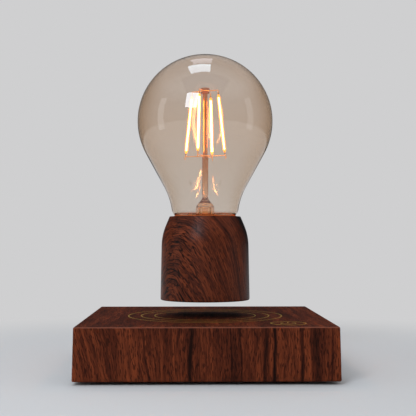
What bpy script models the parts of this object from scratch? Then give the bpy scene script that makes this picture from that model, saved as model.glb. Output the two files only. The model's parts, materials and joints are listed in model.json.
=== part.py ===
"""A levitating table lamp: a filament bulb in a turned wooden cup that hovers over a square wooden base.

Units are metres, +Z is up, and the origin is on the table under the centre of the base.
Everything that floats hangs from an empty at the centre of the cup's underside, on the axis that the lamp spins
round, and its heights are measured from there.
"""

import math

import bmesh
import bpy
from mathutils import Matrix, Vector

# Fits and facets shared by all pieces
FIT = 0.0003
CUT_OVERRUN = 0.002
AXIS_TOUCH = 0.000001
ARC_STEP = math.radians(15)
SMALL_ARC_STEP = math.radians(45)
SMALL_ROUND = 0.001
LEG_SHARE = 0.99
SHARP_ANGLE = math.radians(35)
WIDE_FACETS = 32
MIDDLE_FACETS = 16
SMALL_FACETS = 12
WIRE_FACETS = 6
EMPTY_SHOWN_SIZE = 0.01

# Wooden base
BASE_SIDE = 0.125
BASE_FLARE = 0.0005
BASE_HEIGHT = 0.0255
BASE_EDGE_ROUND = 0.0008
BASE_WALL = 0.006
BASE_TOP_THICKNESS = 0.004
CORNER_BLOCK = 0.010
RING_RADII = (0.0270, 0.0342, 0.0410)
RING_GROOVE_WIDTH = 0.0007
RING_GROOVE_DEPTH = 0.0004

# Underside: cover, feet and screws
FOOT_STANDOFF = 0.0015
FOOT_RADIUS = 0.0055
FOOT_RECESS = 0.0006
FOOT_INSET = 0.0225
FOOT_ROUND = 0.0004
COVER_THICKNESS = 0.002
COVER_LEDGE = 0.002
COVER_BOSS_RADIUS = 0.003
COVER_BOSS_HEIGHT = 0.0012
COVER_BOSS_OFFSET = 0.026
SCREW_RADIUS = 0.0015
SCREW_LENGTH = 0.009
SCREW_HEAD_RADIUS = 0.0028
SCREW_HEAD_HEIGHT = 0.001
SCREW_SUNK = 0.0002

# Levitation drive: a ring magnet with four coils inside it, and two field sensors in the middle
COIL_COUNT = 4
COIL_START = math.radians(45)
COIL_CLEARANCE = 0.0007
COIL_SPACING = 0.00095
CORE_SHARE = 0.336
BOBBIN_WALL = 0.0009
BOBBIN_FLANGE = 0.001
WINDING_SETBACK = 0.0006
RING_MAGNET_CLEARANCE = 0.0016
RING_MAGNET_WIDTH_SHARE = 0.311
RING_MAGNET_BELOW_COILS = 0.0035
RING_MAGNET_FROM_EDGE = 0.005
SENSOR_COUNT = 2
SENSOR_SIZE = (0.0015, 0.004, 0.003)
SENSOR_LEG = (0.0004, 0.0024)
SENSOR_CIRCLE = 0.0032
SENSOR_BELOW_COILS = 0.002

# Board in the base and what stands on it
BOARD_MARGIN = 0.0065
BOARD_CORNER_CLEARANCE = 0.003
BOARD_THICKNESS = 0.0016
BOARD_SPACING = 0.0025
CHIP_SIZE = (0.006, 0.005, 0.0015)
CHIP_TURNS = (math.radians(150), math.radians(30))
CAPACITOR_RADIUS = 0.004
CAPACITOR_BELOW_COILS = 0.002
CAPACITOR_TURNS = (math.radians(135), math.radians(225))
CAPACITOR_ROUND = 0.0005

# Power sender under the top
SENDER_SETBACK = 0.002
SENDER_WIDTH = 0.011
SENDER_THICKNESS = 0.0016

# Touch switch under the mark on the top
TOUCH_FROM_SIDE = 0.0225
TOUCH_FROM_FRONT = 0.0175
TOUCH_PAD_RADIUS = 0.004
TOUCH_PAD_THICKNESS = 0.0004
SPRING_WIRE_RADIUS = 0.0003
SPRING_RADIUS = 0.0024
SPRING_TURNS = 4
SPRING_TURN_POINTS = 8

# Power inlet behind the rear wall
JACK_SIZE = (0.009, 0.0144, 0.011)
JACK_FROM_BLOCK = 0.004
JACK_BORE_RADIUS = 0.00315
JACK_BORE_DEPTH = 0.0095
JACK_PIN_RADIUS = 0.001
JACK_PIN_SETBACK = 0.0015
PLUG_HOLE_RADIUS = 0.006

# Floating cup
FLOAT_GAP = 0.0085
CUP_HEIGHT = 0.0447
CUP_BOTTOM_RADIUS = 0.0240
CUP_RIM_LAND = 0.00215
CUP_SIDE_LEAN = math.radians(1.1)
CUP_SHOULDER_LEAN = math.radians(23)
CUP_SHOULDER_ROUND = 0.030
CUP_EDGE_ROUND = 0.0008
CUP_RIM_ROUND = 0.0003
CUP_WALL = 0.003
DISC_THICKNESS = 0.002
DISC_LEDGE = 0.0008
DISC_SETBACK = 0.0004

# What the cup holds
RECEIVER_INNER = 0.010
RECEIVER_THICKNESS = 0.002
MAGNET_HEIGHT = 0.010
CARRIER_WALL = 0.0029
CARRIER_WEB = 0.0011
CARRIER_HOLE_RADIUS = 0.004
CUP_BOARD_THICKNESS = 0.0012
BRIDGE_SIZE = (0.0065, 0.005, 0.0025)
BRIDGE_PLACE = (-0.0105, 0.004)
SMOOTHER_RADIUS = 0.003
SMOOTHER_HEIGHT = 0.0055
SMOOTHER_PLACE = (0.0105, 0.005)
CHOKE_RADIUS = 0.0035
CHOKE_HEIGHT = 0.0035
CHOKE_PLACE = (0.001, -0.012)
CUP_HEADROOM = 0.001
COLLAR_FLANGE = 0.0015
COLLAR_SKIRT = 0.0045
COLLAR_SKIRT_WALL = 0.003
COLLAR_FLOOR = 0.0015
COLLAR_SHELF = 0.0013

# Glass envelope
GLASS_WALL = 0.0009
GLASS_RADIUS = 0.0365
GLASS_DOME_FLATTENING = 0.0004
GLASS_CONE_LEAN = math.radians(28.8)
GLASS_NECK_LEAN = math.radians(9.6)
GLASS_THROAT_RADIUS = 0.01915
GLASS_THROAT_ABOVE_RIM = 0.01067
GLASS_THROAT_ROUND = 0.038
GLASS_HEEL_ROUND = 0.006
GLASS_HEEL_SUNK = 0.0003
GLASS_HEEL_LAND = 0.0003
GLASS_TAIL_ROUND = 0.0004
SEAL_HEIGHT = 0.0011
SEAL_LIP = 0.0003

# Glass stem, from its flared foot in the neck to the button on top
STEM_WALL = 0.001
STEM_FOOT_ROUND = 0.004
STEM_TUBE_RADIUS = 0.005
STEM_TUBE_ABOVE_RIM = 0.0043
STEM_SHOULDER = 0.007
STEM_SHOULDER_STEPS = 6
STEM_WAIST_RADIUS = 0.0014
STEM_WAIST_FLARE = 0.0008
POST_RADIUS = 0.0017
EXHAUST_SETBACK = 0.0015
ROD_RADIUS = 0.0013
BUTTON_RADIUS = 0.0024
BUTTON_BEAD = 0.001
BUTTON_ROUND = 0.0007
BUTTON_GROOVE_RADIUS = 0.0015

# Light-emitting sticks, and the wires that hold them
FILAMENT_COUNT = 4
FILAMENT_START = math.radians(249.1)
FILAMENT_TWIST = math.radians(-3.4)
FILAMENT_RADIUS = 0.0009
FILAMENT_TOP_RADIUS = 0.0078
FILAMENT_BOTTOM_RADIUS = 0.0112
FILAMENT_TOP_ABOVE_CENTRE = 0.0143
FILAMENT_BOTTOM_BELOW_CENTRE = 0.0171
FILAMENT_TIP = 0.0007
FILAMENT_TIP_RADIUS = 0.0005
TAB_LENGTH = 0.0009
TAB_RADIUS = 0.0003
WIRE_RADIUS = 0.0002
WIRE_RING_RADIUS = 0.0003
WIRE_BEND = 0.0003
UPPER_WIRE_DROP = 0.0015
LOWER_WIRE_RISE = 0.0007
LEAD_RADIUS = 0.0003

# Places in the base that follow from the sizes above
BASE_TOP = FOOT_STANDOFF + BASE_HEIGHT
POCKET_SIDE = BASE_SIDE - 2 * BASE_WALL
POCKET_TOP = BASE_TOP - BASE_TOP_THICKNESS
COVER_TOP = FOOT_STANDOFF + COVER_THICKNESS
COVER_SIDE = POCKET_SIDE + 2 * COVER_LEDGE
FOOT_OFFSET = BASE_SIDE / 2 - FOOT_INSET
SCREW_OFFSET = (POCKET_SIDE - CORNER_BLOCK) / 2
SCREW_BOTTOM = FOOT_STANDOFF + SCREW_SUNK
BOARD_BOTTOM = COVER_TOP + COVER_BOSS_HEIGHT + FIT
BOARD_SIDE = POCKET_SIDE - 2 * BOARD_MARGIN
BOARD_CORNER_CUT = 2 * (CORNER_BLOCK - BOARD_MARGIN) + BOARD_CORNER_CLEARANCE
ON_BOARD = BOARD_BOTTOM + BOARD_THICKNESS + FIT
RING_MAGNET_OUTER = BOARD_SIDE / 2 - RING_MAGNET_FROM_EDGE
RING_MAGNET_INNER = RING_MAGNET_OUTER * (1 - RING_MAGNET_WIDTH_SHARE)
COILS_REACH = RING_MAGNET_INNER - RING_MAGNET_CLEARANCE
COIL_SPREAD = 1 / math.sin(math.pi / COIL_COUNT)
BOBBIN_FLANGE_RADIUS = (COILS_REACH - COIL_SPREAD * COIL_SPACING / 2) / (1 + COIL_SPREAD)
COIL_CIRCLE = COILS_REACH - BOBBIN_FLANGE_RADIUS
CORE_RADIUS = BOBBIN_FLANGE_RADIUS * CORE_SHARE
BOBBIN_BORE = CORE_RADIUS + FIT
BOBBIN_TUBE_RADIUS = BOBBIN_BORE + BOBBIN_WALL
SENDER_INNER = RING_MAGNET_INNER + SENDER_SETBACK
SENDER_BOTTOM = POCKET_TOP - FIT - SENDER_THICKNESS
COIL_HEIGHT = SENDER_BOTTOM - COIL_CLEARANCE - ON_BOARD
RING_MAGNET_HEIGHT = COIL_HEIGHT - RING_MAGNET_BELOW_COILS
SENSOR_HEIGHT = COIL_HEIGHT - SENSOR_BELOW_COILS
CAPACITOR_HEIGHT = COIL_HEIGHT - CAPACITOR_BELOW_COILS
TOUCH_PLACE = (BASE_SIDE / 2 - TOUCH_FROM_SIDE, TOUCH_FROM_FRONT - BASE_SIDE / 2)
TOUCH_PAD_BOTTOM = POCKET_TOP - FIT - TOUCH_PAD_THICKNESS
JACK_X = POCKET_SIDE / 2 - CORNER_BLOCK - JACK_FROM_BLOCK - JACK_SIZE[0] / 2
JACK_REAR = POCKET_SIDE / 2 - FIT
JACK_AXIS = ON_BOARD + JACK_SIZE[2] / 2

# Places inside the cup, above its underside
CUP_UNDERSIDE = BASE_TOP + FLOAT_GAP
CHAMBER_RADIUS = CUP_BOTTOM_RADIUS - CUP_WALL
CHAMBER_FIT_RADIUS = CHAMBER_RADIUS - FIT
DISC_TOP = DISC_SETBACK + DISC_THICKNESS
RECEIVER_BOTTOM = DISC_TOP + FIT
CARRIER_BOTTOM = RECEIVER_BOTTOM + RECEIVER_THICKNESS + FIT
CARRIER_CEILING = CARRIER_BOTTOM + MAGNET_HEIGHT + FIT
CARRIER_BORE = CHAMBER_FIT_RADIUS - CARRIER_WALL
CUP_BOARD_BOTTOM = CARRIER_CEILING + CARRIER_WEB + FIT
ON_CUP_BOARD = CUP_BOARD_BOTTOM + CUP_BOARD_THICKNESS + FIT
COLLAR_BOTTOM = ON_CUP_BOARD + SMOOTHER_HEIGHT + CUP_HEADROOM
COLLAR_SHELF_TOP = COLLAR_BOTTOM + COLLAR_FLANGE + COLLAR_SKIRT + COLLAR_FLOOR
CHAMBER_TOP = COLLAR_BOTTOM + COLLAR_FLANGE + FIT

# Places on the glass and its stem, above the cup's underside
GLASS_HEEL = CUP_HEIGHT - GLASS_HEEL_SUNK
THROAT = CUP_HEIGHT + GLASS_THROAT_ABOVE_RIM
CONE_TOP_RADIUS = GLASS_RADIUS * math.cos(GLASS_CONE_LEAN)
CONE_TOP = THROAT + (CONE_TOP_RADIUS - GLASS_THROAT_RADIUS) / math.tan(GLASS_CONE_LEAN)
GLASS_CENTRE = CONE_TOP + GLASS_RADIUS * math.sin(GLASS_CONE_LEAN)
GLASS_DOME_HEIGHT = GLASS_RADIUS - GLASS_DOME_FLATTENING
HEEL_CORNER_RADIUS = GLASS_THROAT_RADIUS - (THROAT - GLASS_HEEL) * math.tan(GLASS_NECK_LEAN)
HEEL_ARC_RADIUS = HEEL_CORNER_RADIUS - GLASS_HEEL_ROUND / math.tan(math.pi / 4 + GLASS_NECK_LEAN / 2)
GLASS_TAIL_RADIUS = HEEL_ARC_RADIUS - GLASS_HEEL_LAND - GLASS_TAIL_ROUND
GLASS_TAIL_END = COLLAR_SHELF_TOP + FIT
SEAL_BOTTOM = GLASS_HEEL
SEAL_TOP = CUP_HEIGHT + SEAL_HEIGHT
SEAL_ARC_DROP = GLASS_HEEL + GLASS_HEEL_ROUND - SEAL_TOP
SEAL_RADIUS = HEEL_ARC_RADIUS + math.sqrt(GLASS_HEEL_ROUND**2 - SEAL_ARC_DROP**2) + FIT + SEAL_LIP
CUP_MOUTH_RADIUS = SEAL_RADIUS + FIT
CUP_RIM_RADIUS = CUP_MOUTH_RADIUS + CUP_RIM_LAND
COLLAR_RADIUS = CUP_MOUTH_RADIUS - FIT
COLLAR_TOP = GLASS_HEEL - FIT
STEM_FOOT = GLASS_TAIL_END
STEM_FOOT_RADIUS = GLASS_TAIL_RADIUS - GLASS_WALL - FIT
STEM_TUBE_TOP = CUP_HEIGHT + STEM_TUBE_ABOVE_RIM
STEM_WAIST = STEM_TUBE_TOP + STEM_SHOULDER
STEM_CAVITY_RADIUS = STEM_TUBE_RADIUS - STEM_WALL
LEAD_OFFSET = (STEM_CAVITY_RADIUS + POST_RADIUS) / 2
CAVITY_ROUND = (STEM_CAVITY_RADIUS - POST_RADIUS) / 2

# Colour, roughness and metallic value of each finish
FINISHES = {
    "rosewood": ("5f2c1c", 0.45, 0.0),
    "black_plastic": ("1c1c1e", 0.5, 0.0),
    "black_rubber": ("121213", 0.85, 0.0),
    "zinc_screw": ("8d9095", 0.35, 1.0),
    "green_board": ("1d4a2e", 0.45, 0.0),
    "nickel_magnet": ("a8a7a2", 0.25, 1.0),
    "ferrite": ("2c2c2e", 0.7, 0.0),
    "copper_winding": ("b5683a", 0.35, 0.9),
    "bobbin_nylon": ("e4dfd3", 0.5, 0.0),
    "capacitor_sleeve": ("22324a", 0.4, 0.0),
    "chip_epoxy": ("17181a", 0.55, 0.0),
    "brass_spring": ("c4a35a", 0.3, 1.0),
    "white_ceramic": ("ece7dc", 0.4, 0.0),
    "amber_silicone": ("c9702c", 0.5, 0.0),
    "smoked_glass": ("8c7c66", 0.03, 0.0),
    "clear_glass": ("d6dadb", 0.02, 0.0),
    "warm_phosphor": ("ffc871", 0.6, 0.0),
    "nickel_wire": ("9c968a", 0.3, 1.0),
}


def linear(channel):
    """Convert one sRGB channel between 0 and 1 to its linear value."""
    return channel / 12.92 if channel <= 0.04045 else ((channel + 0.055) / 1.055) ** 2.4


def make_finish(name):
    """Return the Principled material of one finish, made on its first use."""
    if name in bpy.data.materials:
        return bpy.data.materials[name]
    code, roughness, metallic = FINISHES[name]
    colour = [linear(int(code[place : place + 2], 16) / 255) for place in (0, 2, 4)]
    finish = bpy.data.materials.new(name)
    finish.use_nodes = True
    shader = finish.node_tree.nodes["Principled BSDF"]
    shader.inputs["Base Color"].default_value = (*colour, 1)
    shader.inputs["Roughness"].default_value = roughness
    shader.inputs["Metallic"].default_value = metallic
    finish.diffuse_color = (*colour, 1)
    return finish


def add_empty(name, place, parent=None):
    """Add an empty that pieces hang from."""
    empty = bpy.data.objects.new(name, None)
    empty.empty_display_size = EMPTY_SHOWN_SIZE
    empty.location = place
    empty.parent = parent
    bpy.context.scene.collection.objects.link(empty)
    return empty


def add_piece(name, shape, finish, parent, place=(0, 0, 0)):
    """Make a named object of a bmesh, with its finish, under its parent."""
    bmesh.ops.recalc_face_normals(shape, faces=shape.faces)
    mesh = bpy.data.meshes.new(name)
    shape.to_mesh(mesh)
    shape.free()
    mesh.shade_smooth()
    mesh.set_sharp_from_angle(angle=SHARP_ANGLE)
    mesh.materials.append(make_finish(finish))
    piece = bpy.data.objects.new(name, mesh)
    piece.location = place
    piece.parent = parent
    bpy.context.scene.collection.objects.link(piece)
    return piece


def combine(piece, operand_shape, name, operation, parent, place=(0, 0, 0)):
    """Cut a hidden shape out of a piece, or unite the two, by a Boolean that stays live."""
    operand = add_piece(name, operand_shape, piece.data.materials[0].name, parent, place)
    operand.hide_render = True
    operand.display_type = "WIRE"
    boolean = piece.modifiers.new(name, "BOOLEAN")
    boolean.operation = operation
    boolean.solver = "EXACT"
    boolean.object = operand


def cut(piece, shape, name, parent, place=(0, 0, 0)):
    """Take a shape out of a piece."""
    combine(piece, shape, name, "DIFFERENCE", parent, place)


def unite(piece, shape, name, parent, place=(0, 0, 0)):
    """Add a shape to a piece."""
    combine(piece, shape, name, "UNION", parent, place)


def on_circle(radius, turn, height=0.0):
    """Return the point at a radius and a turn round the Z axis."""
    return Vector((radius * math.cos(turn), radius * math.sin(turn), height))


def round_corner(before, corner, after, reach):
    """Return the points of an arc that meets both legs of a corner at a reach from it."""
    back = (before - corner).normalized()
    ahead = (after - corner).normalized()
    half_angle = back.angle(ahead) / 2
    radius = reach * math.tan(half_angle)
    centre = corner + (back + ahead).normalized() * reach / math.cos(half_angle)
    start = corner + back * reach - centre
    end = corner + ahead * reach - centre
    turn = start.angle_signed(end)
    step = ARC_STEP if radius > SMALL_ROUND else SMALL_ARC_STEP
    count = max(1, math.ceil(abs(turn) / step - AXIS_TOUCH))
    return [tuple(centre + Matrix.Rotation(-turn * index / count, 2) @ start) for index in range(count + 1)]


def rounded(corners, closed=True):
    """Turn (radius, height, round) corners into an outline; where two arcs want the same leg they share it."""
    places = [Vector(corner[:2]) for corner in corners]
    count = len(corners)
    reaches = []
    for index, (radius, height, size) in enumerate(corners):
        reach = 0.0
        if size and (closed or 0 < index < count - 1):
            legs = (places[index - 1] - places[index], places[(index + 1) % count] - places[index])
            reach = size / math.tan(legs[0].angle(legs[1]) / 2)
        reaches.append(reach)
    outline = []
    for index, wanted in enumerate(reaches):
        if wanted == 0:
            outline.append(tuple(places[index]))
            continue
        reach = wanted
        for neighbour in (index - 1, (index + 1) % count):
            leg = (places[neighbour] - places[index]).length
            reach = min(reach, leg * LEG_SHARE * wanted / (wanted + reaches[neighbour]))
        outline.extend(round_corner(places[index - 1], places[index], places[(index + 1) % count], reach))
    return outline


def moved_out(outline, distance):
    """Move an open outline sideways by a distance, to its left as it runs down."""
    moved = []
    last = len(outline) - 1
    for index, point in enumerate(outline):
        here = Vector(point)
        before = Vector(outline[max(index - 1, 0)])
        after = Vector(outline[min(index + 1, last)])
        legs = [leg.normalized() for leg in (here - before, after - here) if leg.length > 0]
        normals = [Vector((-leg.y, leg.x)) for leg in legs]
        side = (normals[0] + normals[-1]).normalized()
        shifted = here + side * distance / side.dot(normals[0])
        moved.append((shifted.x if point[0] > 0 else 0.0, shifted.y))
    return moved


def between_heights(outline, low, high):
    """Return the stretch of a falling outline between two heights, with its ends read off the legs there."""
    stretch = []
    for start, end in zip(outline, outline[1:]):
        for height in (high, low):
            if start[1] > height > end[1]:
                share = (start[1] - height) / (start[1] - end[1])
                stretch.append((start[0] + (end[0] - start[0]) * share, height))
        if low < end[1] < high:
            stretch.append(end)
    return sorted(stretch, key=lambda point: -point[1])


def turned(outline, facets):
    """Spin an outline of (radius, height) points round Z; one that starts on the axis also ends there."""
    shape = bmesh.new()
    verts = [shape.verts.new((radius, 0, height)) for radius, height in outline]
    edges = [shape.edges.new(pair) for pair in zip(verts, verts[1:])]
    if outline[0][0] > 0:
        edges.append(shape.edges.new((verts[-1], verts[0])))
    bmesh.ops.spin(
        shape, geom=verts + edges, cent=(0, 0, 0), axis=(0, 0, 1), angle=math.tau, steps=facets, use_merge=True
    )
    bmesh.ops.remove_doubles(shape, verts=shape.verts, dist=AXIS_TOUCH)
    return shape


def ring(inner, outer, bottom, top, facets):
    """Return a plain turned ring."""
    return turned([(inner, bottom), (outer, bottom), (outer, top), (inner, top)], facets)


def rod(radius, bottom, top, facets, end_round=0.0):
    """Return a round bar, with its top edge rounded if asked."""
    corners = [(0, top, 0), (radius, top, end_round), (radius, bottom, 0), (0, bottom, 0)]
    return turned(rounded(corners, closed=False), facets)


def block(size, edge_round=0.0):
    """Return a box that stands on the origin's plane, with its edges rounded if asked."""
    shape = bmesh.new()
    placing = Matrix.Translation((0, 0, size[2] / 2)) @ Matrix.Diagonal((*size, 1))
    bmesh.ops.create_cube(shape, size=1, matrix=placing)
    if edge_round:
        bmesh.ops.bevel(
            shape, geom=shape.edges[:], offset=edge_round, segments=2, profile=0.5, affect="EDGES", material=-1
        )
    return shape


def prism(corners, bottom, top):
    """Extrude an outline of (x, y) corners from one height to another."""
    shape = bmesh.new()
    face = shape.faces.new([shape.verts.new((x, y, bottom)) for x, y in corners])
    grown = bmesh.ops.extrude_face_region(shape, geom=[face])
    tops = [item for item in grown["geom"] if isinstance(item, bmesh.types.BMVert)]
    bmesh.ops.translate(shape, verts=tops, vec=(0, 0, top - bottom))
    return shape


def swept(path, radius, facets):
    """Sweep a round section along a path, with flat ends."""
    shape = bmesh.new()
    points = [Vector(point) for point in path]
    side = (points[1] - points[0]).orthogonal().normalized()
    rings = []
    for index, point in enumerate(points):
        along = points[min(index + 1, len(points) - 1)] - points[max(index - 1, 0)]
        along.normalize()
        side = (side - along * side.dot(along)).normalized()
        up = along.cross(side)
        turns = [math.tau * place / facets for place in range(facets)]
        rings.append([shape.verts.new(point + radius * (side * math.cos(t) + up * math.sin(t))) for t in turns])
    for first, second in zip(rings, rings[1:]):
        for place in range(facets):
            following = (place + 1) % facets
            shape.faces.new((first[place], first[following], second[following], second[place]))
    shape.faces.new(rings[0])
    shape.faces.new(rings[-1])
    return shape


def square_corners(offset):
    """Return the four places at an offset from both middle planes."""
    return [(x * offset, y * offset) for x in (-1, 1) for y in (-1, 1)]


def notched_square(side, notch):
    """Return the outline of a square with a square notch at each corner."""
    half = side / 2
    inner = half - notch
    quarter = [(half, -inner), (half, inner), (inner, inner)]
    outline = []
    for turn in range(4):
        spun = Matrix.Rotation(turn * math.pi / 2, 2)
        outline.extend(tuple(spun @ Vector(corner)) for corner in quarter)
    return outline


def cut_square(side, corner_cut):
    """Return the outline of a square with each corner cut off at 45 degrees."""
    half = side / 2
    inner = half - corner_cut
    outline = []
    for turn in range(4):
        spun = Matrix.Rotation(turn * math.pi / 2, 2)
        outline.extend(tuple(spun @ Vector(corner)) for corner in ((half, -inner), (half, inner)))
    return outline


def add_base_housing(base):
    """Milled block of wood: flared a little, hollow from below, with corner blocks for the screws."""
    side = BASE_SIDE
    shape = block((side, side, BASE_HEIGHT))
    for vert in shape.verts:
        if vert.co.z < BASE_HEIGHT / 2:
            vert.co.xy *= 1 + 2 * BASE_FLARE / side
    bmesh.ops.translate(shape, verts=shape.verts, vec=(0, 0, FOOT_STANDOFF))
    bmesh.ops.bevel(
        shape, geom=shape.edges[:], offset=BASE_EDGE_ROUND, segments=2, profile=0.5, affect="EDGES", material=-1
    )
    housing = add_piece("base_housing", shape, "rosewood", base)

    rebate_side = COVER_SIDE + 2 * FIT
    rebate = block((rebate_side, rebate_side, CUT_OVERRUN + COVER_THICKNESS + FIT))
    cut(housing, rebate, "cover_rebate", base, (0, 0, FOOT_STANDOFF - CUT_OVERRUN))
    pocket = prism(notched_square(POCKET_SIDE, CORNER_BLOCK), COVER_TOP - COVER_THICKNESS / 2, POCKET_TOP)
    cut(housing, pocket, "pocket", base)
    for index, radius in enumerate(RING_RADII, start=1):
        half_width = RING_GROOVE_WIDTH / 2
        floor = BASE_TOP - RING_GROOVE_DEPTH
        groove = ring(radius - half_width, radius + half_width, floor, BASE_TOP + CUT_OVERRUN, WIDE_FACETS)
        cut(housing, groove, f"ring_groove_{index}", base)
    hole = rod(PLUG_HOLE_RADIUS, 0, BASE_WALL + 2 * CUT_OVERRUN, MIDDLE_FACETS)
    bmesh.ops.rotate(hole, verts=hole.verts, cent=(0, 0, 0), matrix=Matrix.Rotation(-math.pi / 2, 3, "X"))
    cut(housing, hole, "plug_hole", base, (JACK_X, POCKET_SIDE / 2 - CUT_OVERRUN, JACK_AXIS))
    for index, (x, y) in enumerate(square_corners(SCREW_OFFSET), start=1):
        pilot = rod(SCREW_RADIUS + FIT, COVER_TOP, SCREW_BOTTOM + SCREW_LENGTH + FIT, SMALL_FACETS)
        cut(housing, pilot, f"pilot_hole_{index}", base, (x, y, 0))


def add_bottom_cover(base):
    """Flat cover flush with the wood, with foot recesses below, screw holes and four bosses for the board."""
    plate = block((COVER_SIDE, COVER_SIDE, COVER_THICKNESS))
    cover = add_piece("bottom_cover", plate, "black_plastic", base, (0, 0, FOOT_STANDOFF))
    for index, (x, y) in enumerate(square_corners(COVER_BOSS_OFFSET), start=1):
        boss = rod(COVER_BOSS_RADIUS, -COVER_THICKNESS / 2, COVER_BOSS_HEIGHT, SMALL_FACETS)
        unite(cover, boss, f"board_boss_{index}", base, (x, y, COVER_TOP))
    for index, (x, y) in enumerate(square_corners(FOOT_OFFSET), start=1):
        recess = rod(FOOT_RADIUS + FIT, -CUT_OVERRUN, FOOT_RECESS, MIDDLE_FACETS)
        cut(cover, recess, f"foot_recess_{index}", base, (x, y, FOOT_STANDOFF))
    for index, (x, y) in enumerate(square_corners(SCREW_OFFSET), start=1):
        head_seat = SCREW_SUNK + SCREW_HEAD_HEIGHT + FIT
        hole = turned(
            [
                (0, -CUT_OVERRUN),
                (SCREW_HEAD_RADIUS + FIT, -CUT_OVERRUN),
                (SCREW_HEAD_RADIUS + FIT, head_seat),
                (SCREW_RADIUS + FIT, head_seat),
                (SCREW_RADIUS + FIT, COVER_THICKNESS + CUT_OVERRUN),
                (0, COVER_THICKNESS + CUT_OVERRUN),
            ],
            SMALL_FACETS,
        )
        cut(cover, hole, f"screw_hole_{index}", base, (x, y, FOOT_STANDOFF))


def add_feet_and_screws(base):
    """Four rubber feet let into the cover, and the four screws that hold it to the corner blocks."""
    foot_height = FOOT_STANDOFF + FOOT_RECESS - FIT
    for index, (x, y) in enumerate(square_corners(FOOT_OFFSET), start=1):
        corners = [(0, foot_height, 0), (FOOT_RADIUS, foot_height, 0), (FOOT_RADIUS, 0, FOOT_ROUND), (0, 0, 0)]
        foot = turned(rounded(corners, closed=False), MIDDLE_FACETS)
        add_piece(f"foot_{index}", foot, "black_rubber", base, (x, y, 0))
    for index, (x, y) in enumerate(square_corners(SCREW_OFFSET), start=1):
        screw = turned(
            [
                (0, 0),
                (SCREW_HEAD_RADIUS, 0),
                (SCREW_HEAD_RADIUS, SCREW_HEAD_HEIGHT),
                (SCREW_RADIUS, SCREW_HEAD_HEIGHT),
                (SCREW_RADIUS, SCREW_LENGTH),
                (0, SCREW_LENGTH),
            ],
            SMALL_FACETS,
        )
        add_piece(f"cover_screw_{index}", screw, "zinc_screw", base, (x, y, SCREW_BOTTOM))


def add_levitation_drive(base):
    """Board, ring magnet, four coils on their cores, and the two field sensors between them."""
    board = prism(cut_square(BOARD_SIDE, BOARD_CORNER_CUT), 0, BOARD_THICKNESS)
    add_piece("control_board", board, "green_board", base, (0, 0, BOARD_BOTTOM))
    magnet = ring(RING_MAGNET_INNER, RING_MAGNET_OUTER, 0, RING_MAGNET_HEIGHT, WIDE_FACETS)
    add_piece("ring_magnet", magnet, "ferrite", base, (0, 0, ON_BOARD))
    bobbin_outline = [
        (BOBBIN_BORE, 0),
        (BOBBIN_FLANGE_RADIUS, 0),
        (BOBBIN_FLANGE_RADIUS, BOBBIN_FLANGE),
        (BOBBIN_TUBE_RADIUS, BOBBIN_FLANGE),
        (BOBBIN_TUBE_RADIUS, COIL_HEIGHT - BOBBIN_FLANGE),
        (BOBBIN_FLANGE_RADIUS, COIL_HEIGHT - BOBBIN_FLANGE),
        (BOBBIN_FLANGE_RADIUS, COIL_HEIGHT),
        (BOBBIN_BORE, COIL_HEIGHT),
    ]
    winding_bottom = BOBBIN_FLANGE + FIT
    for index in range(COIL_COUNT):
        place = on_circle(COIL_CIRCLE, COIL_START + index * math.tau / COIL_COUNT, ON_BOARD)
        number = index + 1
        add_piece(f"coil_bobbin_{number}", turned(bobbin_outline, MIDDLE_FACETS), "bobbin_nylon", base, place)
        winding = ring(
            BOBBIN_TUBE_RADIUS + FIT,
            BOBBIN_FLANGE_RADIUS - WINDING_SETBACK,
            winding_bottom,
            COIL_HEIGHT - winding_bottom,
            MIDDLE_FACETS,
        )
        add_piece(f"coil_winding_{number}", winding, "copper_winding", base, place)
        core = rod(CORE_RADIUS, 0, COIL_HEIGHT, MIDDLE_FACETS)
        add_piece(f"coil_core_{number}", core, "ferrite", base, place)
    for index in range(SENSOR_COUNT):
        turn = index * math.pi / 2
        name = f"field_sensor_{index + 1}"
        leg = block((*SENSOR_LEG, SENSOR_HEIGHT - SENSOR_SIZE[2] / 2))
        sensor = add_piece(name, leg, "chip_epoxy", base, on_circle(SENSOR_CIRCLE, turn, ON_BOARD))
        sensor.rotation_euler.z = turn
        head = block(SENSOR_SIZE)
        unite(sensor, head, f"{name}_head", sensor, (0, 0, SENSOR_HEIGHT - SENSOR_SIZE[2]))


def add_board_parts(base):
    """Driver chips and supply capacitors, outside the ring magnet."""
    free_radius = RING_MAGNET_OUTER + BOARD_SPACING
    chip_reach = Vector(CHIP_SIZE[:2]).length / 2
    for index, turn in enumerate(CHIP_TURNS, start=1):
        place = on_circle(free_radius + chip_reach, turn, ON_BOARD)
        add_piece(f"driver_chip_{index}", block(CHIP_SIZE), "chip_epoxy", base, place)
    for index, turn in enumerate(CAPACITOR_TURNS, start=1):
        can = rod(CAPACITOR_RADIUS, 0, CAPACITOR_HEIGHT, SMALL_FACETS, CAPACITOR_ROUND)
        place = on_circle(free_radius + CAPACITOR_RADIUS, turn, ON_BOARD)
        add_piece(f"supply_capacitor_{index}", can, "capacitor_sleeve", base, place)


def add_power_sender(base):
    """Flat coil glued under the top, which feeds the floating lamp through the air."""
    coil = ring(SENDER_INNER, SENDER_INNER + SENDER_WIDTH, 0, SENDER_THICKNESS, WIDE_FACETS)
    add_piece("sender_coil", coil, "copper_winding", base, (0, 0, SENDER_BOTTOM))


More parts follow.
